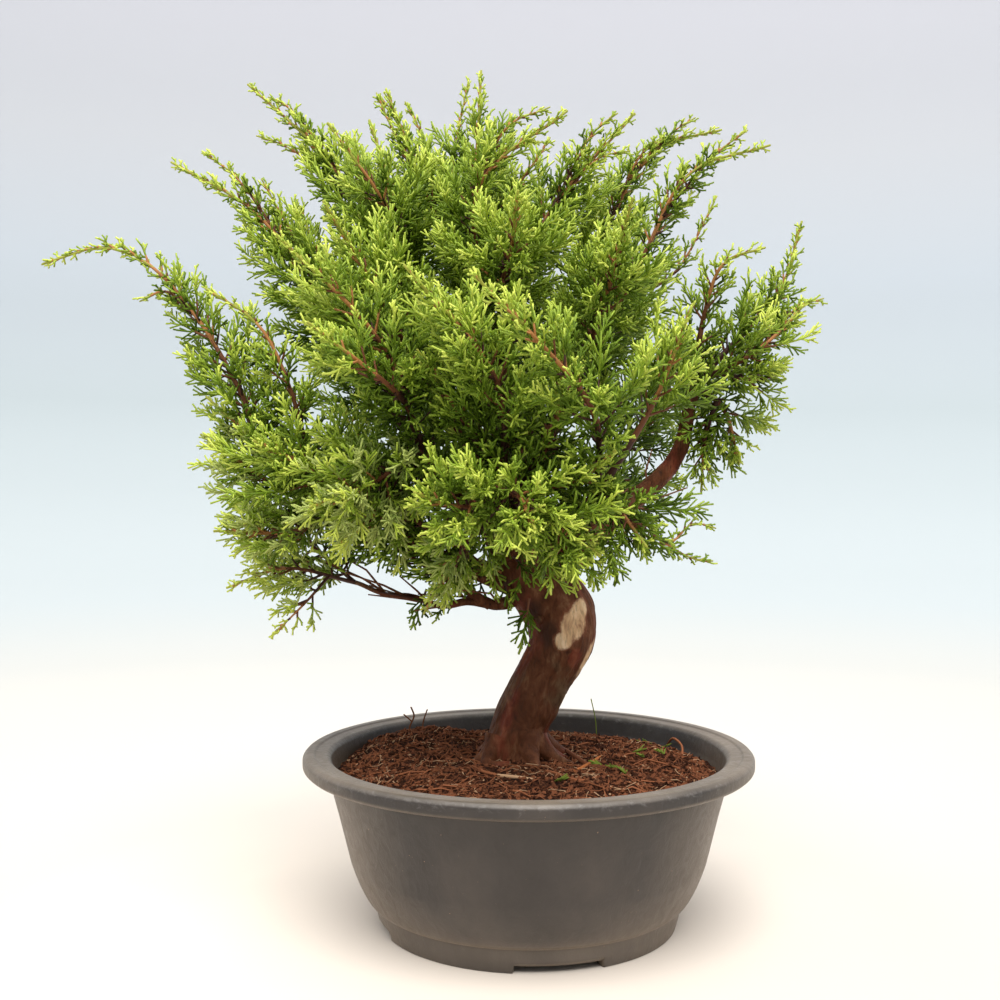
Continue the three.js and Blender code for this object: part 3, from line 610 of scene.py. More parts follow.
def pot_material():
    """Dark plastic with a leathery grain, scuffed along the lip, dusty on top and over the foot, and with a
    painted sheen where the wall is seen edge on.
    """
    material, tree, shader = new_material("pot_plastic", (0.05, 0.041, 0.035), 0.45, 0.6)
    grain = noise_node(tree, 900, (1, 1, 0.5), detail=3.0)
    creases = noise_node(tree, 130, (1, 1, 0.6), detail=6.0, distortion=1.5)
    clouds = noise_node(tree, 14, (1, 1, 0.5), detail=4.0)
    scuffs = noise_node(tree, 190, (1, 1, 1.6), detail=8.0, roughness=0.75, distortion=0.6)
    flecks = noise_node(tree, 420, detail=4.0, roughness=0.6)
    # Heights are taken larger, so that the marks of the bands lie far enough apart
    larger = 8.0
    height = math_node(tree, "MULTIPLY", place_node(tree)[1], larger)
    dusty, worn = (
        ramp_node(tree, height, [(z * larger, (share, share, share)) for z, share in bands])
        for bands in (DUST_BANDS, SCUFF_BANDS))

    # Painted sheen: a pale warm reflection laid where the wall is seen edge on
    edge_on = tree.nodes.new("ShaderNodeLayerWeight")
    edge_on.inputs["Blend"].default_value = 0.5
    painted_sheen = math_node(tree, "MULTIPLY", above(tree, edge_on.outputs["Facing"], 0.35, 0.5), 0.55)
    color = mix_node(tree, painted_sheen, ramp_node(tree, clouds, PLASTIC), PAINTED_SHEEN_TONE)
    # A thin even film of dust on the top of the lip and over the foot
    film = math_node(tree, "MULTIPLY", dusty, above(tree, clouds, 0.2, 0.5))
    color = mix_node(tree, film, color, DUST_TONE)
    # Scuffs along the outer edge of the lip
    worn = math_node(tree, "ADD", worn, math_node(tree, "SUBTRACT", scuffs, 0.5))
    rubbed = math_node(tree, "MULTIPLY", above(tree, worn, 0.54, 0.22), 0.30)
    color = mix_node(tree, rubbed, color, SCUFF_TONE)
    # A few specks of dried earth
    color = mix_node(tree, above(tree, flecks, 0.72, 0.03), color, EARTH_TONE)
    lay_color(tree, shader, color)
    gloss = ramp_node(tree, creases, [(0.3, (0.36, 0.36, 0.36)), (0.7, (0.54, 0.54, 0.54))])
    tree.links.new(gloss, shader.inputs["Roughness"])
    rough = math_node(tree, "ADD", creases, math_node(tree, "MULTIPLY", grain, 0.35))
    add_bump(tree, shader, rough, 0.35, 0.0011)
    return material


# Curves
class Curve:
    """A smooth curve walked by its share of length, with a value such as a radius at each point."""

    def __init__(self, points, values=None):
        self.points = np.asarray(points, float)
        steps = np.linalg.norm(np.diff(self.points, axis=0), axis=1)
        self.walked = np.concatenate([[0], np.cumsum(steps)])
        self.length = self.walked[-1]
        self.values = None if values is None else np.asarray(values, float)

    def at(self, share):
        walked = np.clip(share, 0, 1) * self.length
        return np.stack([np.interp(walked, self.walked, self.points[:, k]) for k in range(3)], -1)

    def forward(self, share):
        """The direction, taken over a short stretch."""
        return unit(self.at(np.minimum(share + 0.02, 1)) - self.at(np.maximum(share - 0.02, 0)))

    def value(self, share):
        return np.interp(np.clip(share, 0, 1) * self.length, self.walked, self.values)


def centripetal(points, per_span=40):
    """The centripetal curve through points that the source uses."""
    points = np.asarray(points, float)
    ends = [2 * points[0] - points[1], *points, 2 * points[-1] - points[-2]]
    t = np.linspace(0, 1, per_span, endpoint=False)[:, None]
    made = []
    for x0, x1, x2, x3 in zip(ends, ends[1:], ends[2:], ends[3:]):
        d0, d1, d2 = (max(np.linalg.norm(b - a), 1e-6) ** 0.5 for a, b in ((x0, x1), (x1, x2), (x2, x3)))
        t1 = ((x1 - x0) / d0 - (x2 - x0) / (d0 + d1) + (x2 - x1) / d1) * d1
        t2 = ((x2 - x1) / d1 - (x3 - x1) / (d1 + d2) + (x3 - x2) / d2) * d1
        square, cube = -3 * x1 + 3 * x2 - 2 * t1 - t2, 2 * x1 - 2 * x2 + t1 + t2
        made.append(x1 + t1 * t + square * t**2 + cube * t**3)
    return np.concatenate([*made, points[-1:]])


def on_quadratic(start, middle, end, t):
    return (1 - t) ** 2 * start + 2 * t * (1 - t) * middle + t**2 * end


def quadratic(start, middle, end, count):
    """Points on a quadratic curve."""
    return on_quadratic(*np.array([start, middle, end], float), np.linspace(0, 1, count)[:, None])


def bezier(start, middle, end, shares):
    """Points on many quadratic curves at many shares: (count, shares, 3)."""
    return on_quadratic(start[:, None], middle[:, None], end[:, None], np.array(shares)[None, :, None])


def eased(rows, reach):
    """Rows averaged over their neighbours, with the ends kept."""
    made = rows.copy()
    for i in range(1, len(rows) - 1):
        near = min(reach, i, len(rows) - 1 - i)
        made[i] = rows[i - near:i + near + 1].mean(0)
    return made


trunk_points = centripetal(TRUNK_LINE)
spans = np.linspace(0, len(TRUNK_RADII) - 1, len(trunk_points))
trunk = Curve(trunk_points, np.interp(spans, range(len(TRUNK_RADII)), TRUNK_RADII))

boughs = {}
for order, (name, place, tip, arch, radii) in enumerate(BOUGHS):
    tip = np.array(tip, float)
    root = boughs[place].points[-1] if isinstance(place, str) else trunk.at(place)
    line = quadratic(root, (root + tip) / 2 + 2 * arch * UP, tip, 60)
    # Each wanders a little about the smooth arch of the source, but not at its ends
    t = np.linspace(0, 1, len(line))
    sway = BOUGH_SWAY * np.sin(math.pi * t) ** 0.5
    line[:, 1] += sway * np.sin(5.1 * math.pi * t + 2.1 * order)
    line[:, 2] += sway * np.sin(6.3 * math.pi * t + 1.7 * order)
    thinned = 1 - (1 - SLIM_BOUGHS.get(name, 1)) * smoothstep(0, 0.6, t)
    boughs[name] = Curve(line, np.linspace(radii[0], radii[1], len(line)) * thinned)

side_limbs = []
for name, share, through, radii in SIDE_LIMBS:
    line = centripetal([boughs[name].at(share), *through], 20)
    side_limbs.append(Curve(line, np.linspace(radii[0], radii[1], len(line))))


# Bark: a tube with relief. Each limb has lumps, long fibres and flakes, all in its own coordinates.
def relief(distance, angle, radius, seed):
    """Height of the bark over the smooth limb at a distance along it and an angle round it."""
    across = Vector((math.cos(angle) * radius, math.sin(angle) * radius, 0))
    shift = Vector((17.3 * seed, 5.1 * seed, 0))
    lump = noise.noise((across * 0.055 + Vector((0, 0, distance * 0.035))) + shift)
    fibre = noise.noise((across * 0.42 + Vector((0, 0, distance * 0.055))) + shift)
    flake = noise.noise((across * 0.16 + Vector((0, 0, distance * 0.07))) + 2 * shift)
    crack = noise.noise((across * 0.9 + Vector((0, 0, distance * 0.12))) + shift)
    raised = 1 if flake > 0.12 else (0 if flake < 0.04 else (flake - 0.04) / 0.08)
    return 1.6 * lump + 0.6 * fibre + 0.5 * raised + 0.3 * crack


def tube(curve, shares, radii, level=None):
    """A closed tube along a curve, with a radius for every ring and side. Where level is 1 its sections
    are horizontal."""
    rings, sides = radii.shape
    centres = curve.at(shares)
    forward = curve.forward(shares)
    if level is not None:
        forward = unit(forward * (1 - level)[:, None] + UP * level[:, None])
    # The first direction across turns as little as possible from each ring to the next
    first = np.zeros_like(forward)
    across = np.array([1.0, 0, 0]) if abs(forward[0, 0]) < 0.8 else np.array([0, 1.0, 0])
    for i, along in enumerate(forward):
        across = unit(across - along * across.dot(along))
        first[i] = across
    angles = np.linspace(0, 2 * math.pi, sides, endpoint=False)
    points = centres[:, None] + round_about(first, np.cross(forward, first), angles) * radii[..., None]
    # A last ring of nearly no width closes the end
    cap = centres[-1] + (points[-1:] - centres[-1]) * 0.05
    return np.concatenate([points, cap]).reshape(-1, 3), ring_faces(rings + 1, sides)


def round_about(first, second, angles):
    """Directions at angles between two directions across each of many lines: (count, angles, 3)."""
    return np.cos(angles)[None, :, None] * first[:, None] + np.sin(angles)[None, :, None] * second[:, None]


def trunk_mesh():
    """The trunk from just under the soil, with rings that lie closer together low down."""
    start = np.interp(TRUNK_FOOT, trunk.points[:, 2], trunk.walked) / trunk.length
    shares = start + (1 - start) * np.linspace(0, 1, TRUNK_ALONG) ** 1.08
    height = trunk.at(shares)[:, 2]
    angles = np.linspace(0, 2 * math.pi, TRUNK_AROUND, endpoint=False)
    radii = np.repeat(trunk.value(shares)[:, None], TRUNK_AROUND, 1)
    for i, z in enumerate(height):
        for j, angle in enumerate(angles):
            radii[i, j] += relief(shares[i] * trunk.length, angle + 0.004 * z, FOOT_GIRTH, 1) - 0.5
    # Roots flare out of the foot, sinking into the soil
    for k, (degrees, reach) in enumerate(ROOTS):
        off = (angles - math.radians(degrees) + math.pi) % (2 * math.pi) - math.pi
        for i, z in enumerate(height):
            above_ground = max(z - GROUND, 0)
            sway = 0.12 * math.sin(0.23 * z + 2 * k)
            lobe = np.exp(-(((off - sway) / (0.24 + 0.012 * above_ground)) ** 2))
            rise = math.exp(-above_ground / (6.5 + 0.8 * k))
            radii[i] += lobe * (reach - FOOT_GIRTH) * rise
    return tube(trunk, shares, radii, 1 - smoothstep(GROUND + 6, GROUND + 42, height))


def stub_mesh(centre, direction, radius, length, seed):
    """A short cut stub of a branch, with a flat pale end."""
    direction = unit(np.array(direction, float))
    line = Curve(np.array([centre, np.array(centre) + direction * length]))
    radii = np.repeat(radius * np.array(STUB_SHAPE)[:, None], STUB_SIDES, 1)
    for j in range(STUB_SIDES):
        radii[:, j] *= 1 + 0.12 * noise.noise(Vector((j * 0.7, seed, 0)))
    return tube(line, np.linspace(0, 1, len(STUB_SHAPE)), radii)


def bough_mesh(curve, seed, rings=BOUGH_ALONG):
    """A bough with a collar at its foot, and with its bark's relief."""
    shares = np.linspace(0, 1, rings)
    angles = np.linspace(0, 2 * math.pi, BOUGH_AROUND, endpoint=False)
    base = curve.value(shares)
    collar = 1 + 0.7 * np.exp(-shares * curve.length / 14)
    radii = np.repeat((base * collar)[:, None], BOUGH_AROUND, 1)
    for i, share in enumerate(shares):
        for j, angle in enumerate(angles):
            rough = relief(share * curve.length * 1.6, angle + 2 * share, 1.8 * base[i], seed)
            radii[i, j] += (rough - 0.3) * base[i] * 0.13
    return tube(curve, shares, radii)


def joined(parts):
    """Meshes given as (points, faces) as one."""
    firsts = np.cumsum([0, *(len(points) for points, _ in parts)])
    return (
        np.concatenate([points for points, _ in parts]),
        np.concatenate([faces + first for (_, faces), first in zip(parts, firsts)]))


# Strands: many thin closed tapering tubes at once
def strands(lines, radii, sides, blunt=False):
    """lines is (count, rings, 3) and radii (count, rings). Each strand ends in a low point, or blunt."""
    lines = np.asarray(lines, float)
    radii = np.asarray(radii, float)
    count, rings, _ = lines.shape
    along = unit(lines[:, -1] - lines[:, 0])
    across = np.cross(along, UP)
    flat = np.linalg.norm(across, axis=1) < 0.05
    across[flat] = np.cross(along[flat], np.array([1.0, 0, 0]))
    across = unit(across)
    other = np.cross(along, across)
    angles = np.linspace(0, 2 * math.pi, sides, endpoint=False)
    out = round_about(across, other, angles)[:, None] * radii[:, :, None, None]
    points = (lines[:, :, None] + out).reshape(count, rings * sides, 3)
    faces = []
    for ring in range(rings - 1):
        for side in range(sides):
            a = ring * sides + side
            b = ring * sides + (side + 1) % sides
            faces += [(a, b, b + sides), (a, b + sides, a + sides)]
    last = (rings - 1) * sides
    if blunt:
        faces += [(last, last + side, last + side + 1) for side in range(1, sides - 1)]
    else:
        tip = lines[:, -1] + unit(lines[:, -1] - lines[:, -2]) * radii[:, -1:] * 0.9
        points = np.concatenate([points, tip[:, None]], 1)
        faces += [(last + side, last + (side + 1) % sides, rings * sides) for side in range(sides)]
    faces = np.array(faces)[None] + (np.arange(count) * points.shape[1])[:, None, None]
    return points.reshape(-1, 3), faces.reshape(-1, 3)


class Heap:
    """Collects strands by colour and makes them into pieces."""

    def __init__(self):
        self.kept = {}

    def add(self, color, points, faces):
        self.kept.setdefault(color, []).append((points, faces))

    def add_by(self, colors, lines, radii):
        for color in np.unique(colors):
            chosen = colors == color
            self.add(int(color), *strands(lines[chosen], radii[chosen], 3, True))

    def pieces(self, name, materials, slot, nodes):
        """One piece for each colour, or more where it has too many triangles for one."""
        for color in sorted(self.kept):
            batches = [[]]
            size = 0
            for points, faces in self.kept[color]:
                if batches[-1] and size + len(faces) > MOST_TRIANGLES:
                    batches.append([])
                    size = 0
                batches[-1].append((points, faces))
                size += len(faces)
            for part, batch in enumerate(batches):
                mesh_piece(f"{name}_{color}_{part}", *joined(batch), [materials[color]], slot, nodes)


# The foliage
def random_numbers(seed):
    """The same seeded numbers as in the source, from 0 to 1."""
    state = seed
    while True:
        state = (state * 1664525 + 1013904223) % 2**32
        yield state / 2**32


def profile(share):
    """Half the width of a shoot at a share of its length, beside its girth."""
    share = np.asarray(share, float)
    swell = START_WIDTH + (1 - START_WIDTH) * np.sin(math.pi / 2 * np.minimum(share / WIDEST_SHARE, 1))
    thin = 1 - (1 - TIP_WIDTH) * (np.maximum(share - WIDEST_SHARE, 0) / (1 - WIDEST_SHARE)) ** THINNING
    return np.where(share < WIDEST_SHARE, swell, thin)


shoots = []
for index, (name, bough, forks) in enumerate(MASSES):
    stem = None
    for number, (at, through, girth) in enumerate(forks):
        root = stem.at(at) if stem else boughs[bough].points[-1]
        line = Curve(centripetal([root, *through], 20))
        stem = stem or line
        shoots.append({
            "mass": index, "fork": at, "curve": line, "girth": girth, "limb": boughs[bough].values[-1],
            "bare": BARE_FEET.get((name, number), LEAST_BARE),
            "shown": SHOWN_STEMS.get((name, number), (1, 1))})

for name, at, through, girth in LEADERS:
    stem = next(shoot for shoot in shoots if MASSES[shoot["mass"]][0] == name)
    line = Curve(centripetal([stem["curve"].at(at), *through], 20))
    shoots.append({**stem, "fork": at, "curve": line, "girth": girth, "bare": LEAST_BARE, "shown": (1, 1)})

even = np.linspace(0, 1, SAMPLES + 1)
shoot_points = np.concatenate([shoot["curve"].at(even) for shoot in shoots])
shoot_widths = np.concatenate([shoot["girth"] * profile(even) for shoot in shoots])
shoot_mass = np.repeat([shoot["mass"] for shoot in shoots], SAMPLES + 1)
limb_curves = [trunk, *boughs.values()]
limb_points = np.concatenate([curve.at(even) for curve in limb_curves])
limb_radii = np.concatenate([curve.value(even) for curve in limb_curves])
mass_names = [name for name, _, _ in MASSES]
OLDER = [index for index, name in enumerate(mass_names) if name in OLDER_MASSES]
CHUNK = 3000
# The last painted lift is for twigs that are in no mass
painted_lifts = np.array([*(PAINTED_LIGHT_LIFTS.get(name, 0) for name in mass_names), 0])


def chunks(count):
    """Slices of a long table, so that a comparison of every row with every point fits in memory."""
    return [slice(start, start + CHUNK) for start in range(0, count, CHUNK)]


def clear_of_limbs(points):
    """Whether each point is clear of the trunk and of every bough."""
    clear = np.zeros(len(points), bool)
    for chunk in chunks(len(points)):
        away = np.linalg.norm(points[chunk, None] - limb_points[None], axis=2)
        clear[chunk] = np.all(away > limb_radii[None] + LIMB_CLEAR, axis=1)
    return clear


def belongs(points, mass, slack):
    """Whether each point is clear of all limbs and nearer, in half-widths and with some slack, to its own
    mass's shoots than to any other's."""
    kept = np.zeros(len(points), bool)
    for chunk in chunks(len(points)):
        ratio = np.linalg.norm(points[chunk, None] - shoot_points[None], axis=2) / shoot_widths[None]
        own = shoot_mass[None] == mass[chunk, None]
        mine = np.where(own, ratio, np.inf).min(1)
        theirs = np.where(own, np.inf, ratio).min(1)
        kept[chunk] = mine < theirs * slack
    return kept & clear_of_limbs(points)


def opened(along, roll, angle):
    """Directions that open from along by an angle, at a roll round it."""
    sideways = unit(np.cross(along, UP + 0.01))
    upward = np.cross(sideways, along)
    out = sideways * np.cos(roll)[:, None] + upward * np.sin(roll)[:, None]
    return along * np.cos(angle)[:, None] + out * np.sin(angle)[:, None]


def grow_twigs():
    """The twigs of every shoot, by the source's rule at a finer spacing."""
    rows = []
    for number, shoot in enumerate(shoots):
        curve = shoot["curve"]
        random = random_numbers(FIRST_SEED + number)
        bare = shoot["bare"]
        end = 1 - TIP_FINGER / curve.length
        count = round(curve.length * (end - bare) / TWIG_SPACING)
        turn = 2 * math.pi * next(random)
        for i in range(count):
            # Twigs stand closer together towards the tip, where they are shorter
            share = end - (end - bare) * (1 - (i + next(random)) / count) ** TIP_CROWDING
            forward = curve.forward(share)
            angle = BASE_ANGLE + (TIP_ANGLE - BASE_ANGLE) * share + 0.3 * (next(random) - 0.5)
            heading = opened(forward[None], np.array([turn]), np.array([angle]))[0]
            spread = LEAST_REACH + (MOST_REACH - LEAST_REACH) * next(random)
            # Room is left for the sprays that a twig carries past its own end
            slim = 1 - TIP_SLIMNESS * smoothstep(0.4, 0.85, share)
            width = shoot["girth"] * float(profile(share)) * spread * slim - SPRAY_ROOM
            width = max(width, PLUME_WIDTH * (1.2 - share))
            reach = min(width / math.sin(angle), ((1 - share) * curve.length + TIP_ROOM) / math.cos(angle))
            luck = next(random)
            turn += BLADE_TURN + 0.5 * (next(random) - 0.5)
            low, high = shoot["shown"]
            in_front = low < share < high and heading[1] < -0.45
            if in_front and luck < THINNED_SHARE:
                continue
            rows.append((shoot["mass"], share, curve.at(share), heading, forward, reach, luck))
    twigs = table(rows)
    waiting = np.arange(len(rows))
    for _ in range(TRIES):
        tips = twigs["start"][waiting] + twigs["heading"][waiting] * twigs["reach"][waiting, None]
        waiting = waiting[~belongs(tips, twigs["mass"][waiting], TWIG_SLACK)]
        twigs["reach"][waiting] *= SHRINK
    return twigs


def shaded_rows(curve, seed, low, high, spacing, opening, reach_at, least_rise=-1.0):
    """Rows of dark twigs in a spiral along a stretch of a curve. Opening is their least angle and the
    range over it."""
    random = random_numbers(FIRST_SEED + seed)
    count = round(curve.length * (high - low) / spacing)
    turn = 2 * math.pi * next(random)
    for i in range(count):
        share = low + (high - low) * (i + next(random)) / count
        forward = curve.forward(share)
        angle = opening[0] + opening[1] * next(random)
        heading = opened(forward[None], np.array([turn]), np.array([angle]))[0]
        heading[2] = max(heading[2], least_rise)
        reach = reach_at(share, next(random))
        yield -1, 0.0, curve.at(share), heading, forward, reach, next(random)
        turn += BLADE_TURN


def grow_inner_twigs():
    """Short shaded twigs along the outer stretch of every bough, which fill the crown's inside. Their dark
    greens are painted shade of the crown's inside.
    """
    least, most = INNER_REACH
    bearing = [boughs[name] for name in boughs if name not in BARE_BOUGHS]
    rows = []
    for number, curve in enumerate([trunk, *bearing, *side_limbs]):
        rows += shaded_rows(
            curve, INNER_SEED + number, 0.66 if curve is trunk else INNER_FROM, 1, INNER_SPACING, (0.75, 0.6),
            lambda share, luck: (least + (most - least) * luck) * (0.55 + 0.45 * share), -0.35)
    return table(rows)


def grow_shaded_twigs():
    """Shorter dark twigs along the inner stretch of every shoot, which close the crown behind its front.
    Their dark green is painted shade.
    """
    rows = []
    for number, shoot in enumerate(shoots):
        if shoot["bare"] < 0.1:
            rows += shaded_rows(
                shoot["curve"], SHADED_SEED + number, 0, SHADED_SHARE, SHADED_SPACING, (0.7, 0.5),
                lambda share, luck: shoot["girth"] * float(profile(share)) * (0.35 + 0.35 * luck))
    return table(rows)


def grow_sprigs():
    """The small sprigs in their places. Their share stands for their lightness."""
    rows = []
    for foot, tip, light in SPRIGS:
        foot, tip = np.array(foot, float), np.array(tip, float)
        reach = np.linalg.norm(tip - foot)
        heading = (tip - foot) / reach
        rows.append((-1, light, foot, heading, heading, reach * 0.93, 0.5))
    return table(rows)


def grow_bare_twigs():
    """Thin leafless twigs along the inner stretch of the boughs."""
    lines, colors = [], []
    for number, name in enumerate(BARE_TWIGS):
        curve = boughs[name]
        random = random_numbers(FIRST_SEED + BARE_SEED + number)
        turn = 2 * math.pi * next(random)
        for i in range(BARE_TWIGS[name]):
            share = BARE_FROM + BARE_STRETCH * (i + next(random)) / BARE_TWIGS[name]
            forward = curve.forward(share)
            heading = opened(forward[None], np.array([turn]), np.array([0.5 + 0.5 * next(random)]))[0]
            heading[2] = abs(heading[2]) * 0.8
            start = curve.at(share)
            reach = BARE_REACH[0] + (BARE_REACH[1] - BARE_REACH[0]) * next(random)
            bend = start + heading * reach * 0.5 + UP * 3 * (next(random) - 0.5)
            lines.append(np.stack([start, bend, start + (heading * 0.9 + forward * 0.3) * reach]))
            colors.append(int(2.2 * next(random)))
            turn += BLADE_TURN
    return np.array(lines), np.array(colors)


def table(rows):
    keys = ("mass", "share", "start", "heading", "forward", "reach", "luck")
    return {key: np.array([row[k] for row in rows]) for k, key in enumerate(keys)}


def rows_of(counts):
    """For counts such as 3 and 2, the owners 0 0 0 1 1 and the places in the row 0 1 2 0 1."""
    owner = np.repeat(np.arange(len(counts)), counts)
    return owner, np.arange(len(owner)) - np.repeat(np.cumsum(counts) - counts, counts)


def walk(start, middle, end, t):
    """Places on many quadratic curves, one share each, and the directions there."""
    t = t[:, None]
    ways = unit(2 * (1 - t) * (middle - start) + 2 * t * (end - middle))
    return on_quadratic(start, middle, end, t), ways


def tapered(radii, count):
    return np.repeat(np.array([radii], float), count, 0)


def green_steps(level, older):
    """Which green each spray takes. The young outside is the brightest and the inside darker, in part as
    painted shade, and some masses hold older sprays."""
    darkest = len(GREEN_LEVELS)
    green = darkest - np.digitize(level + rng.normal(0, 0.09, len(level)), GREEN_LEVELS)
    grey = older & (rng.random(len(level)) < 0.55) & (green > 0) & (green < darkest)
    return np.where(grey, np.where(green < 3, *OLDER_GREENS), green)


def lighter(green, chosen):
    """The green one step younger where chosen."""
    return np.where(chosen & (green > 0) & (green < OLDER_GREENS[0]), green - 1, green)


def add_sprays(twigs, greens, woods, density, coarse=1.0):
    """Twigs with sprays in a spiral along them, and branchlets in a spiral along each spray. Where it is
    coarse, the branchlets are longer and thicker, as on old shaded wood."""
    reach, start = twigs["reach"], twigs["start"]
    n = len(reach)
    older = np.isin(twigs["mass"], OLDER)
    middle = start + twigs["heading"] * reach[:, None] * 0.5
    end = start + (twigs["heading"] * 0.93 + twigs["forward"] * 0.14 + UP * 0.10) * reach[:, None]
    # The level sets the green: lighter out along the twig and the spray, darker at their foot inside the
    # crown in part as painted shade, and moved by each mass's painted light lift
    level = 0.42 * twigs["share"] + 0.12 * twigs["luck"] + painted_lifts[twigs["mass"]]
    wood = np.clip((twigs["share"] * 3 + rng.normal(0, 0.5, n)).astype(int), 0, 3)
    inner = bezier(start, middle, end, [0, 0.25, 0.5])
    woods.add_by(wood, inner, tapered([1.1, 0.9, 0.7], n) * TWIG_RADIUS)
    green = green_steps(level + 0.3, older)
    outer = bezier(start, middle, end, [0.45, 0.75, 1])
    greens.add_by(green, outer, tapered([0.8, 0.8, 0.7], n) * TWIG_RADIUS)

    least = np.where(reach < 6, 1, 3)
    owner, order = rows_of(np.maximum((reach * 0.86 / SPRAY_SPACING * density).astype(int), least))
    counts = np.bincount(owner)[owner]
    place = np.minimum(0.16 + 0.84 * (order + 0.35 + 0.5 * rng.random(len(owner))) / counts, 1)
    root, along = walk(start[owner], middle[owner], end[owner], place)
    roll = (rng.random(n) * 2 * math.pi)[owner] + order * 2.4 + rng.normal(0, 0.35, len(owner))
    heading = opened(along, roll, 0.95 - 0.5 * place + rng.normal(0, 0.1, len(owner)))
    reach = reach[owner]
    length = np.clip(reach * (0.46 - 0.22 * place), np.minimum(SHORTEST_SPRAY, 0.6 * reach), LONGEST_SPRAY)
    length *= rng.uniform(0.75, 1.2, len(owner))
    tip = root + (heading * 0.9 + along * 0.16 + UP * 0.05) * length[:, None]
    keep = (twigs["mass"][owner] < 0) | belongs(tip, twigs["mass"][owner], SPRAY_SLACK)
    keep &= clear_of_limbs(tip)
    owner, place, root, roll, heading, length, tip = (
        values[keep] for values in (owner, place, root, roll, heading, length, tip))
    middle = root + heading * length[:, None] * 0.5
    green = green_steps(level[owner] + 0.42 * place, older[owner])
    axes = bezier(root, middle, tip, [0, 0.5, 1])
    greens.add_by(green, axes, tapered([0.85, 0.95, 0.8], len(owner)) * SPRAY_RADIUS)

    spray, order = rows_of(np.maximum((length / (BRANCHLET_SPACING * coarse)).astype(int), 2))
    counts = np.bincount(spray)[spray]
    place = 0.10 + 0.86 * (order + 0.3 + 0.4 * rng.random(len(spray))) / counts
    base, along = walk(root[spray], middle[spray], tip[spray], place)
    turn = roll[spray] + order * 2.6 + rng.normal(0, 0.4, len(spray))
    heading = opened(along, turn, 0.50 + rng.normal(0, 0.12, len(spray)))
    size = np.clip(length[spray] * (0.95 - 0.45 * place), SHORTEST_BRANCHLET, LONGEST_BRANCHLET)
    size = size * rng.uniform(0.75, 1.25, len(spray)) * coarse
    lines = np.stack([base, base + heading * size[:, None] * 0.85], 1)
    tone = lighter(green[spray], (place > 0.4) & (rng.random(len(spray)) < 0.6))
    greens.add_by(tone, lines, tapered([0.8, 0.95], len(spray)) * BRANCHLET_RADIUS * coarse**0.5)


rng = np.random.default_rng(7)
greens, woods = Heap(), Heap()
add_sprays(grow_twigs(), greens, woods, 1.0)
add_sprays(grow_inner_twigs(), greens, woods, 0.8, 1.4)
add_sprays(grow_shaded_twigs(), greens, woods, 0.7, 1.4)
add_sprays(grow_sprigs(), greens, woods, 1.2, 1.15)

lines, colors = grow_bare_twigs()
woods.add_by(colors, lines, tapered([1.0, 0.75, 0.45], len(lines)))

# Shoot stems, woody at the foot and yellow-green at the tip: where their tones part, widths at the foot
STEM_CUTS = [0, 0.30, 0.52, 0.74, 1.0]
FIRST_STEM = 1.9
FORKED_STEM = 1.3
SLIM_STEM = 0.7
SLIM_GIRTH = 21
for shoot in shoots:
    slim = shoot["girth"] < SLIM_GIRTH
    width = SLIM_STEM if slim else (FIRST_STEM if shoot["fork"] == 0 else FORKED_STEM)
    # A stem is no wider than the end of the bough that carries it
    width = min(width, max(shoot["limb"] - 0.7, 0.6))
    for color, (low, high) in enumerate(zip(STEM_CUTS, STEM_CUTS[1:])):
        shares = np.linspace(low, min(high + 0.02, 1), 6)
        radii = width * (1 - shares) ** 1.6 + (0.5 if slim else 0.75)
        woods.add(color, *strands(shoot["curve"].at(shares)[None], radii[None], 7))

foliage_nodes = [f"foliage_{name}" for name in mass_names]
green_materials = [
    new_material(f"green_{i}", color, 0.45, gloss)[0]
    for i, (color, gloss) in enumerate(zip(GREENS, GLOSS))]
wood_materials = [new_material(f"stem_{i}", color, 0.55, 0.25)[0] for i, color in enumerate(WOODS)]
greens.pieces("sprays", green_materials, "foliage", foliage_nodes)
woods.pieces("twigs", wood_materials, "bark", foliage_nodes)

# Trunk and boughs. Patches on the trunk: place, half sizes, lean in degrees and softness of the edge
BARE_WOOD = [
    ((31, -15, 194.5), (7, 14, 12), 15, 0.18), ((27.2, -16, 186.5), (10.5, 14, 14), 20, 0.18),
    ((21.5, -18, 177.5), (7.5, 14, 8.5), 40, 0.18), ((36, -6, 165), (2.4, 12, 20), 27, 0.28),
]
RED_BARK = [
    ((28.7, -16, 166), (7, 14, 10), 20, 0.3), ((-10.3, -16, 141), (7, 14, 12), 24, 0.4),
    ((-14, -16, 129), (6, 14, 12), 22, 0.3),
]
DARK_BARK = [((12, -18, 181), (15, 14, 12), 50, 0.4), ((2, -14, 196), (10, 14, 10), 20, 0.4)]
# Thick roots stand out of the soil at the foot: points and the radii at the two ends
ROOT_LIMBS = [
    ([(-2, -12, 116), (1, -20, 107), (5, -29, 100)], (6, 3)),
    ([(4, -6, 114), (14, -12, 105), (28, -20, 100)], (5.5, 2.2)),
    ([(-18, -10, 114), (-23, -15, 105), (-27, -20, 99)], (6, 3)),
    ([(2, 6, 116), (16, 10, 105), (29, 12, 99)], (6, 2.6)),
    ([(-18, 6, 112), (-25, 10, 104), (-33, 12, 99)], (5, 2.6)),
]
# Cut stubs of branches: place, direction, radius, length and seed
STUBS = [
    ((7.5, -15, 190), (-0.3, -0.95, 0.1), 2.2, 5, 3),
    ((-24, -26, 101.8), (1, -0.25, 0.08), 3, 13, 5),
]
roots = []
for i, (line, radii) in enumerate(ROOT_LIMBS):
    line = centripetal(line, 20)
    roots.append(bough_mesh(Curve(line, np.linspace(radii[0], radii[1], len(line))), 31 + i, 24))
stubs = [stub_mesh(*stub) for stub in STUBS]
solid = [trunk_mesh(), *roots]
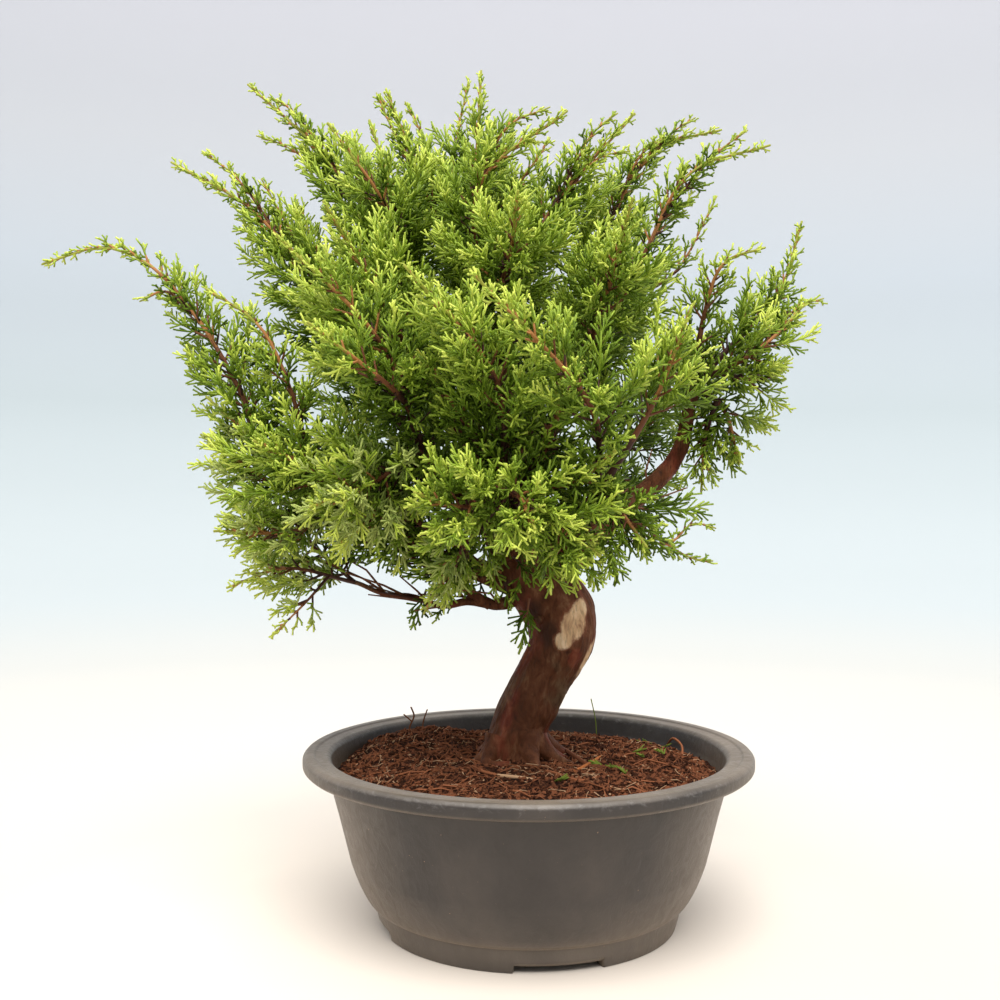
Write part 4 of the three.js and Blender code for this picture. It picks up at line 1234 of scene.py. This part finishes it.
# The last faces of each stub are its cut end
cut = [np.zeros(len(faces)) for _, faces in solid]
cut += [np.arange(len(faces)) >= len(faces) - STUB_SIDES for _, faces in stubs]
mesh_piece(
    "trunk_bark", *joined(solid + stubs),
    [bark_material("trunk_bark", 0, BARE_WOOD, RED_BARK, DARK_BARK), cut_wood_material()],
    "bark", ["trunk"], face_material=np.concatenate(cut))
# The right limb and its rise are one limb with a bend
bent = Curve(
    np.concatenate([boughs["right_low"].points, boughs["right_rise"].points[1:]]),
    np.concatenate([boughs["right_low"].values, boughs["right_rise"].values[1:]]))
even = np.linspace(0, 1, 90)
right_limb = Curve(eased(bent.at(even), 9), eased(bent.value(even)[:, None], 9)[:, 0])
whole = [curve for name, curve in boughs.items() if name not in ("right_low", "right_rise")]
limbs = [bough_mesh(right_limb, 47, 120)]
limbs += [bough_mesh(curve, 3 + i) for i, curve in enumerate(whole)]
limbs += [bough_mesh(curve, 51 + i, 40) for i, curve in enumerate(side_limbs)]
mesh_piece(
    "bough_bark", *joined(limbs), [bark_material("bough_bark", 1, [], [], [])],
    "bark", [f"bough_{name}" for name in boughs])


# The soil: a rough surface, with crumbs, bits of bark, root fibres and a few fallen or sprouting sprigs
SOIL_TONES = [
    (0.040, 0.014, 0.007), (0.17, 0.060, 0.028), (0.46, 0.28, 0.16),
    (0.28, 0.10, 0.045), (0.42, 0.14, 0.045), (0.15, 0.20, 0.03)]
# Crumbs: how many, least and most size, flatness
CRUMBS = [(3000, 0.6, 2.3, 0.8), (2600, 0.6, 2.2, 0.8), (650, 0.5, 1.8, 0.5)]
# Fibres: how many, least and most length, radius, tone
FIBRES = [(700, 6, 22, 0.30, 3), (620, 5, 18, 0.28, 1), (150, 6, 20, 0.32, 2), (46, 16, 46, 0.7, 3)]


def soil_height(x, y):
    """Smooth height of the soil at a place."""
    r = np.hypot(x, y)
    s = np.clip((r - SEAT_RADIUS) / (SOIL_RADIUS - SEAT_RADIUS), 0, 1)
    piled = PILE_HEIGHT * np.exp(-((x - PILE_PLACE[0]) ** 2 + (y - PILE_PLACE[1]) ** 2) / PILE_SPREAD**2)
    return GROUND - (GROUND - SOIL_EDGE) * s**1.8 + piled


def rough(x, y):
    """Lumps on the soil at one place."""
    p = Vector((x, y, 3.0))
    return 1.9 * noise.noise(p * 0.07) + 1.2 * noise.noise(p * 0.19) + 0.9 * noise.noise(p * 0.48)


def soil_mesh():
    rings = SOIL_RADIUS * np.linspace(0.02, 1, SOIL_RINGS)
    angles = np.linspace(0, 2 * math.pi, SOIL_SECTORS, endpoint=False)
    x = rings[:, None] * np.cos(angles)[None]
    y = rings[:, None] * np.sin(angles)[None]
    z = soil_height(x, y)
    for i in range(SOIL_RINGS):
        for j in range(SOIL_SECTORS):
            z[i, j] += rough(x[i, j], y[i, j]) + 0.3
    return np.stack([x, y, z], -1).reshape(-1, 3), ring_faces(SOIL_RINGS, SOIL_SECTORS, True)


mesh_piece("soil_surface", *soil_mesh(), [soil_material()], "soil", ["soil"])


def scattered(count, least=24):
    """Places spread evenly over the soil, from a least distance to its axis on."""
    r = np.sqrt(rng.uniform(least**2, (SOIL_RADIUS - 3) ** 2, count))
    angle = rng.uniform(0, 2 * math.pi, count)
    x, y = r * np.cos(angle), r * np.sin(angle)
    z = soil_height(x, y) + np.array([rough(px, py) for px, py in zip(x, y)]) + 0.3
    return np.stack([x, y, z], -1)


def crumbs(count, least, most, flatness):
    """Small irregular lumps of eight faces."""
    places = scattered(count, 6)
    corners = np.array([(1, 0, 0), (0, 1, 0), (-1, 0, 0), (0, -1, 0), (0, 0, 1), (0, 0, -1)], float)
    size = rng.uniform(least, most, (count, 1, 1)) * np.array([1, rng.uniform(0.5, 0.9), flatness])
    shape = corners[None] * size * rng.uniform(0.6, 1.3, (count, 6, 1))
    turn = rng.uniform(0, 2 * math.pi, count)
    c, s = np.cos(turn)[:, None], np.sin(turn)[:, None]
    tilt = rng.normal(0, 0.35, (count, 1))
    x, y, z = shape[..., 0], shape[..., 1], shape[..., 2] + shape[..., 0] * tilt
    points = np.stack([x * c - y * s, x * s + y * c, z], -1) + places[:, None]
    points = points + np.array([0, 0, 0.25]) * size
    sides = [(k, (k + 1) % 4) for k in range(4)]
    order = np.array([(a, b, 4) for a, b in sides] + [(b, a, 5) for a, b in sides])
    faces = order[None] + np.arange(count)[:, None, None] * 6
    return points.reshape(-1, 3), faces.reshape(-1, 3)


def fibres(count, least, most, radius):
    """Thin roots that lie on the soil."""
    start = scattered(count)
    angle = rng.uniform(0, 2 * math.pi, count)
    length = rng.uniform(least, most, count)
    bend = rng.normal(0, 0.9, count)
    places = [start[:, :2]]
    for step in range(4):
        turn = angle + bend * (step / 3 - 0.5)
        places.append(places[-1] + (length / 4)[:, None] * np.stack([np.cos(turn), np.sin(turn)], -1))
    flat = np.stack(places, 1)
    inside = np.hypot(flat[..., 0], flat[..., 1]).max(1) < SOIL_RADIUS - 2
    flat = flat[inside]
    height = soil_height(flat[..., 0], flat[..., 1])
    height += np.array([[rough(x, y) for x, y in line] for line in flat])
    lift = np.abs(rng.normal(0.5, 0.9, height.shape)) + 0.35
    lines = np.concatenate([flat, (height + lift)[..., None]], -1)
    return lines, np.repeat(np.array([[1, 1, 0.9, 0.75, 0.5]]) * radius, len(lines), 0)


soil_tones = [new_material(f"crumb_{i}", color, 0.9, 0.1)[0] for i, color in enumerate(SOIL_TONES)]
for i, sizes in enumerate(CRUMBS):
    mesh_piece(f"crumbs_{i}", *crumbs(*sizes), [soil_tones[i]], "soil", ["soil"], smooth=False)
for i, (*sizes, tone) in enumerate(FIBRES):
    mesh_piece(f"fibres_{i}", *strands(*fibres(*sizes), 3), [soil_tones[tone]], "soil", ["soil"])

# Roots and bits that lie or stand on the soil in known places: tone, radius, points
LAID = [
    (4, 1.1, [(26, -44, 102.2), (36, -27, 103.2), (44, -8, 103), (49, 8, 102.4)]),
    (3, 0.9, [(4, -39, 102.4), (15, -49, 103), (28, -61, 101.4), (37, -57, 101.8), (46, -45, 101.6)]),
    (2, 1.2, [(-19, -53, 102.4), (-8, -59, 102.8), (3, -63, 102)]),
    (3, 1.0, [(-36, -24, 102.2), (-29, -43, 103), (-20, -50, 102)]),
    (1, 1.6, [(24, 14, 103), (30, -10, 103.4), (38, -28, 102), (52, -34, 101)]),
    (3, 0.8, [(96, 70, 94), (99, 60, 101), (103, 48, 99), (101, 30, 95)]),
    (1, 0.6, [(-78, 78, 96), (-80, 80, 104), (-77, 82, 112), (-79, 82, 118)]),
    (1, 0.5, [(-70, 82, 96), (-71, 84, 106), (-68, 84, 116)]),
    (1, 0.5, [(-78, 81, 108), (-84, 82, 113)]),
    (5, 0.4, [(50, 92, 95), (49, 92, 108), (46, 92, 122)]),
]
heap_laid = Heap()
for tone, radius, line in LAID:
    line = centripetal(line, 4)
    heap_laid.add(tone, *strands(line[None], np.full((1, len(line)), radius), 6))
# Small green sprigs that have fallen or sprouted
FALLEN = [
    (81, 76), (86, 70), (93, 64), (67, 12), (74, 4), (44, -27), (53, -34), (57, -42), (14, -65), (88, 22)]
for x, y in FALLEN:
    stem = np.array([x, y, soil_height(x, y) + 1.0])
    turn = rng.uniform(0, 2 * math.pi)
    for k in range(6):
        side = turn + (k - 2.5) * 0.33
        rise = rng.uniform(0.15, 0.75)
        way = unit(np.array([math.cos(side), math.sin(side), rise]))
        foot = stem + (k % 3) * 1.6 * np.array([math.cos(turn), math.sin(turn), 0.3])
        line = np.stack([foot, foot + way * rng.uniform(3, 7)])
        heap_laid.add(5, *strands(line[None], np.array([[0.6, 0.4]]), 4))
heap_laid.pieces("litter", soil_tones, "soil", ["soil"])


# The pot: a turned shape with a rolled lip, and a foot ring with shallow cut-outs
def rounded(corners, radius, steps=4):
    """An outline with its corners rounded, by quadratic curves."""
    corners = [np.array(c, float) for c in corners]
    made = [corners[0]]
    for before, corner, after in zip(corners, corners[1:], corners[2:]):
        reach = min(radius, 0.45 * np.linalg.norm(corner - before), 0.45 * np.linalg.norm(after - corner))
        start = corner + unit(before - corner) * reach
        end = corner + unit(after - corner) * reach
        made.extend(quadratic(start, corner, end, steps + 1))
    return np.array([*made, corners[-1]])


def pot_mesh():
    bend = quadratic((BODY_FOOT_RADIUS, FOOT_HEIGHT), (105, 23.5), (WAIST_RADIUS, WAIST_HEIGHT), 14)
    outline = [
        (0.5, FLOOR_UNDERSIDE), (FOOT_RADIUS - FOOT_WALL - 3, FLOOR_UNDERSIDE),
        (FOOT_RADIUS - FOOT_WALL, 0), (FOOT_RADIUS, 0), (FOOT_RADIUS + 2.2, 8),
        (FOOT_RADIUS + 3, FOOT_HEIGHT - 3),
        (95.5, FOOT_HEIGHT - 0.5), (BODY_FOOT_RADIUS, FOOT_HEIGHT + 0.5), *bend[2:],
        (118, 70), (BODY_TOP_RADIUS - 1.2, RIM_UNDERSIDE - 6), (BODY_TOP_RADIUS, RIM_UNDERSIDE),
        (RIM_RADIUS - 2.5, RIM_UNDERSIDE), (RIM_RADIUS, RIM_UNDERSIDE + 2.2), (RIM_RADIUS, RIM_TOP - 2.4),
        (RIM_RADIUS - 2.2, RIM_TOP), (RIM_RADIUS - 7, RIM_TOP), (RIM_RADIUS - 8, RIM_TOP - 0.9),
        (RIM_INNER_RADIUS + 2, RIM_TOP - 1.0), (RIM_INNER_RADIUS - 0.5, RIM_TOP - 3.2),
        (BODY_TOP_RADIUS - 4.5, 95), (INNER_RADIUS, 80),
    ]
    outline = rounded(outline, 1.1)
    # Long stretches get rings between, so that the wall can be slightly uneven
    fine = [outline[0]]
    for place in outline[1:]:
        steps = max(1, math.ceil(np.linalg.norm(place - fine[-1]) / 9))
        fine.extend(fine[-1] + (place - fine[-1]) * k / steps for k in range(1, steps + 1))
    outline = np.array(fine)
    half = math.asin(CUTOUT_WIDTH / 2 / (FOOT_RADIUS - FOOT_WALL / 2))
    angles = list(np.linspace(0, 2 * math.pi, POT_SIDES, endpoint=False))
    cuts = [CUTOUT_TURN - math.pi / 2 + k * 2 * math.pi / CUTOUTS for k in range(CUTOUTS)]
    for cut in cuts:
        # Two close sides stand at each end of a cut-out, so that its ends are upright
        ends = (cut - half, cut + half)
        angles = [
            a for a in angles if min(abs(math.remainder(a - end, 2 * math.pi)) for end in ends) > 0.012]
        angles += [(end + off) % (2 * math.pi) for end in ends for off in (-0.004, 0.004)]
    angles = np.array(sorted(angles))
    wobble = np.array([
        [noise.noise(Vector((2 * math.cos(a), 2 * math.sin(a), z * 0.02))) for a in angles]
        for _, z in outline])
    r = outline[:, :1] + 0.35 * wobble * (outline[:, :1] > 97)
    z = np.repeat(outline[:, 1:], len(angles), 1)
    inside = np.zeros(len(angles), bool)
    for cut in cuts:
        inside |= np.abs(np.array([math.remainder(a - cut, 2 * math.pi) for a in angles])) < half
    ring = (outline[:, 0] > FOOT_RADIUS - FOOT_WALL - 2) & (outline[:, 1] < CUTOUT_HEIGHT)
    z[np.ix_(ring, inside)] = CUTOUT_HEIGHT
    return turned_points(r, z, angles), ring_faces(len(outline), len(angles))


mesh_piece("pot_body", *pot_mesh(), [pot_material()], "pot", ["pot"])


# The stage: a round seamless sweep of pale card, soft lamps and the camera
SWEEP_OUTLINE = [(0, 0), (1900, 0), (2500, 90), (2900, 500), (3000, 1100), (3000, 1850)]
SWEEP_BEND = 500
SWEEP_SIDES = 96
# Tones of the card, by the distance walked over the floor and up the wall, as a share of its reach.
# Close to the pot the card is palest, as painted light that lifts the pot's shadow; further out it is
# darker, and paler and bluer up the wall.
SWEEP_REACH = 5.0
SWEEP_TONES_AND_PAINTED_LIGHT = [
    (0.03, (0.71, 0.635, 0.555)), (0.06, (0.58, 0.53, 0.475)), (0.14, (0.505, 0.48, 0.44)),
    (0.24, (0.43, 0.43, 0.41)), (0.40, (0.386, 0.417, 0.423)), (0.66, (0.36, 0.40, 0.415)),
    (0.76, (0.445, 0.48, 0.515)), (0.84, (0.50, 0.51, 0.535)), (0.92, (0.52, 0.52, 0.555)),
]
# Soft lamps: name, direction they shine from, spread in degrees, strength, colour
LAMPS = [
    ("key", (0.04, -0.75, 1.25), 40, 3.5, (1.0, 0.985, 0.96)),
    ("left", (-1.2, -0.35, 0.8), 60, 1.1, (1.0, 0.99, 0.97)),
    ("right", (1.2, -0.2, 0.9), 60, 0.8, (1.0, 0.99, 0.97)),
    ("top", (-0.1, 0.3, 1.5), 60, 1.2, (1.0, 1.0, 1.0)),
]
SKY_COLOR = (0.96, 0.97, 1.0)
SKY_STRENGTH = 0.75
CAMERA_PLACE = (-17.6, -808, 280.5)
CAMERA_PITCH = math.radians(-1.24)
CAMERA_LENS = 46.55


def sweep_mesh():
    outline = rounded(SWEEP_OUTLINE, SWEEP_BEND, 8)
    angles = np.linspace(0, 2 * math.pi, SWEEP_SIDES, endpoint=False)
    points = turned_points(outline[:, :1], np.repeat(outline[:, 1:], SWEEP_SIDES, 1), angles)
    return points, ring_faces(len(outline), SWEEP_SIDES, True)


def stage_material():
    material, tree, shader = new_material("pale_card", (0.85, 0.83, 0.8), 0.9, 0.1)
    place, height = place_node(tree)
    across = tree.nodes.new("ShaderNodeMapping")
    across.inputs["Scale"].default_value = (1, 1, 0)
    away = tree.nodes.new("ShaderNodeVectorMath")
    away.operation = "LENGTH"
    tree.links.new(place, across.inputs["Vector"])
    tree.links.new(across.outputs["Vector"], away.inputs[0])
    walked = math_node(tree, "ADD", away.outputs["Value"], height)
    # The card is palest close to the pot, as painted light that lifts the pot's shadow
    lay_color(tree, shader, ramp_node(tree, math_node(tree, "DIVIDE", walked, SWEEP_REACH), SWEEP_TONES_AND_PAINTED_LIGHT))
    return material


mesh_object("sweep", *sweep_mesh(), [stage_material()])

for name, place, spread, strength, color in LAMPS:
    data = bpy.data.lights.new(name, "SUN")
    data.angle = math.radians(spread)
    data.energy = strength
    data.color = color
    lamp = bpy.data.objects.new(name, data)
    lamp.rotation_euler = Vector(place).to_track_quat("Z", "Y").to_euler()
    bpy.context.scene.collection.objects.link(lamp)

sky = bpy.data.worlds.new("soft_sky")
sky.use_nodes = True
sky.node_tree.nodes["Background"].inputs["Color"].default_value = (*SKY_COLOR, 1)
sky.node_tree.nodes["Background"].inputs["Strength"].default_value = SKY_STRENGTH
bpy.context.scene.world = sky
bpy.context.scene.view_settings.view_transform = "Standard"

camera_data = bpy.data.cameras.new("camera")
camera_data.sensor_width = 36
camera_data.lens = CAMERA_LENS
camera = bpy.data.objects.new("camera", camera_data)
camera.location = Vector(world(CAMERA_PLACE))
camera.rotation_euler = (math.pi / 2 + CAMERA_PITCH, 0, 0)
bpy.context.scene.collection.objects.link(camera)
bpy.context.scene.camera = camera
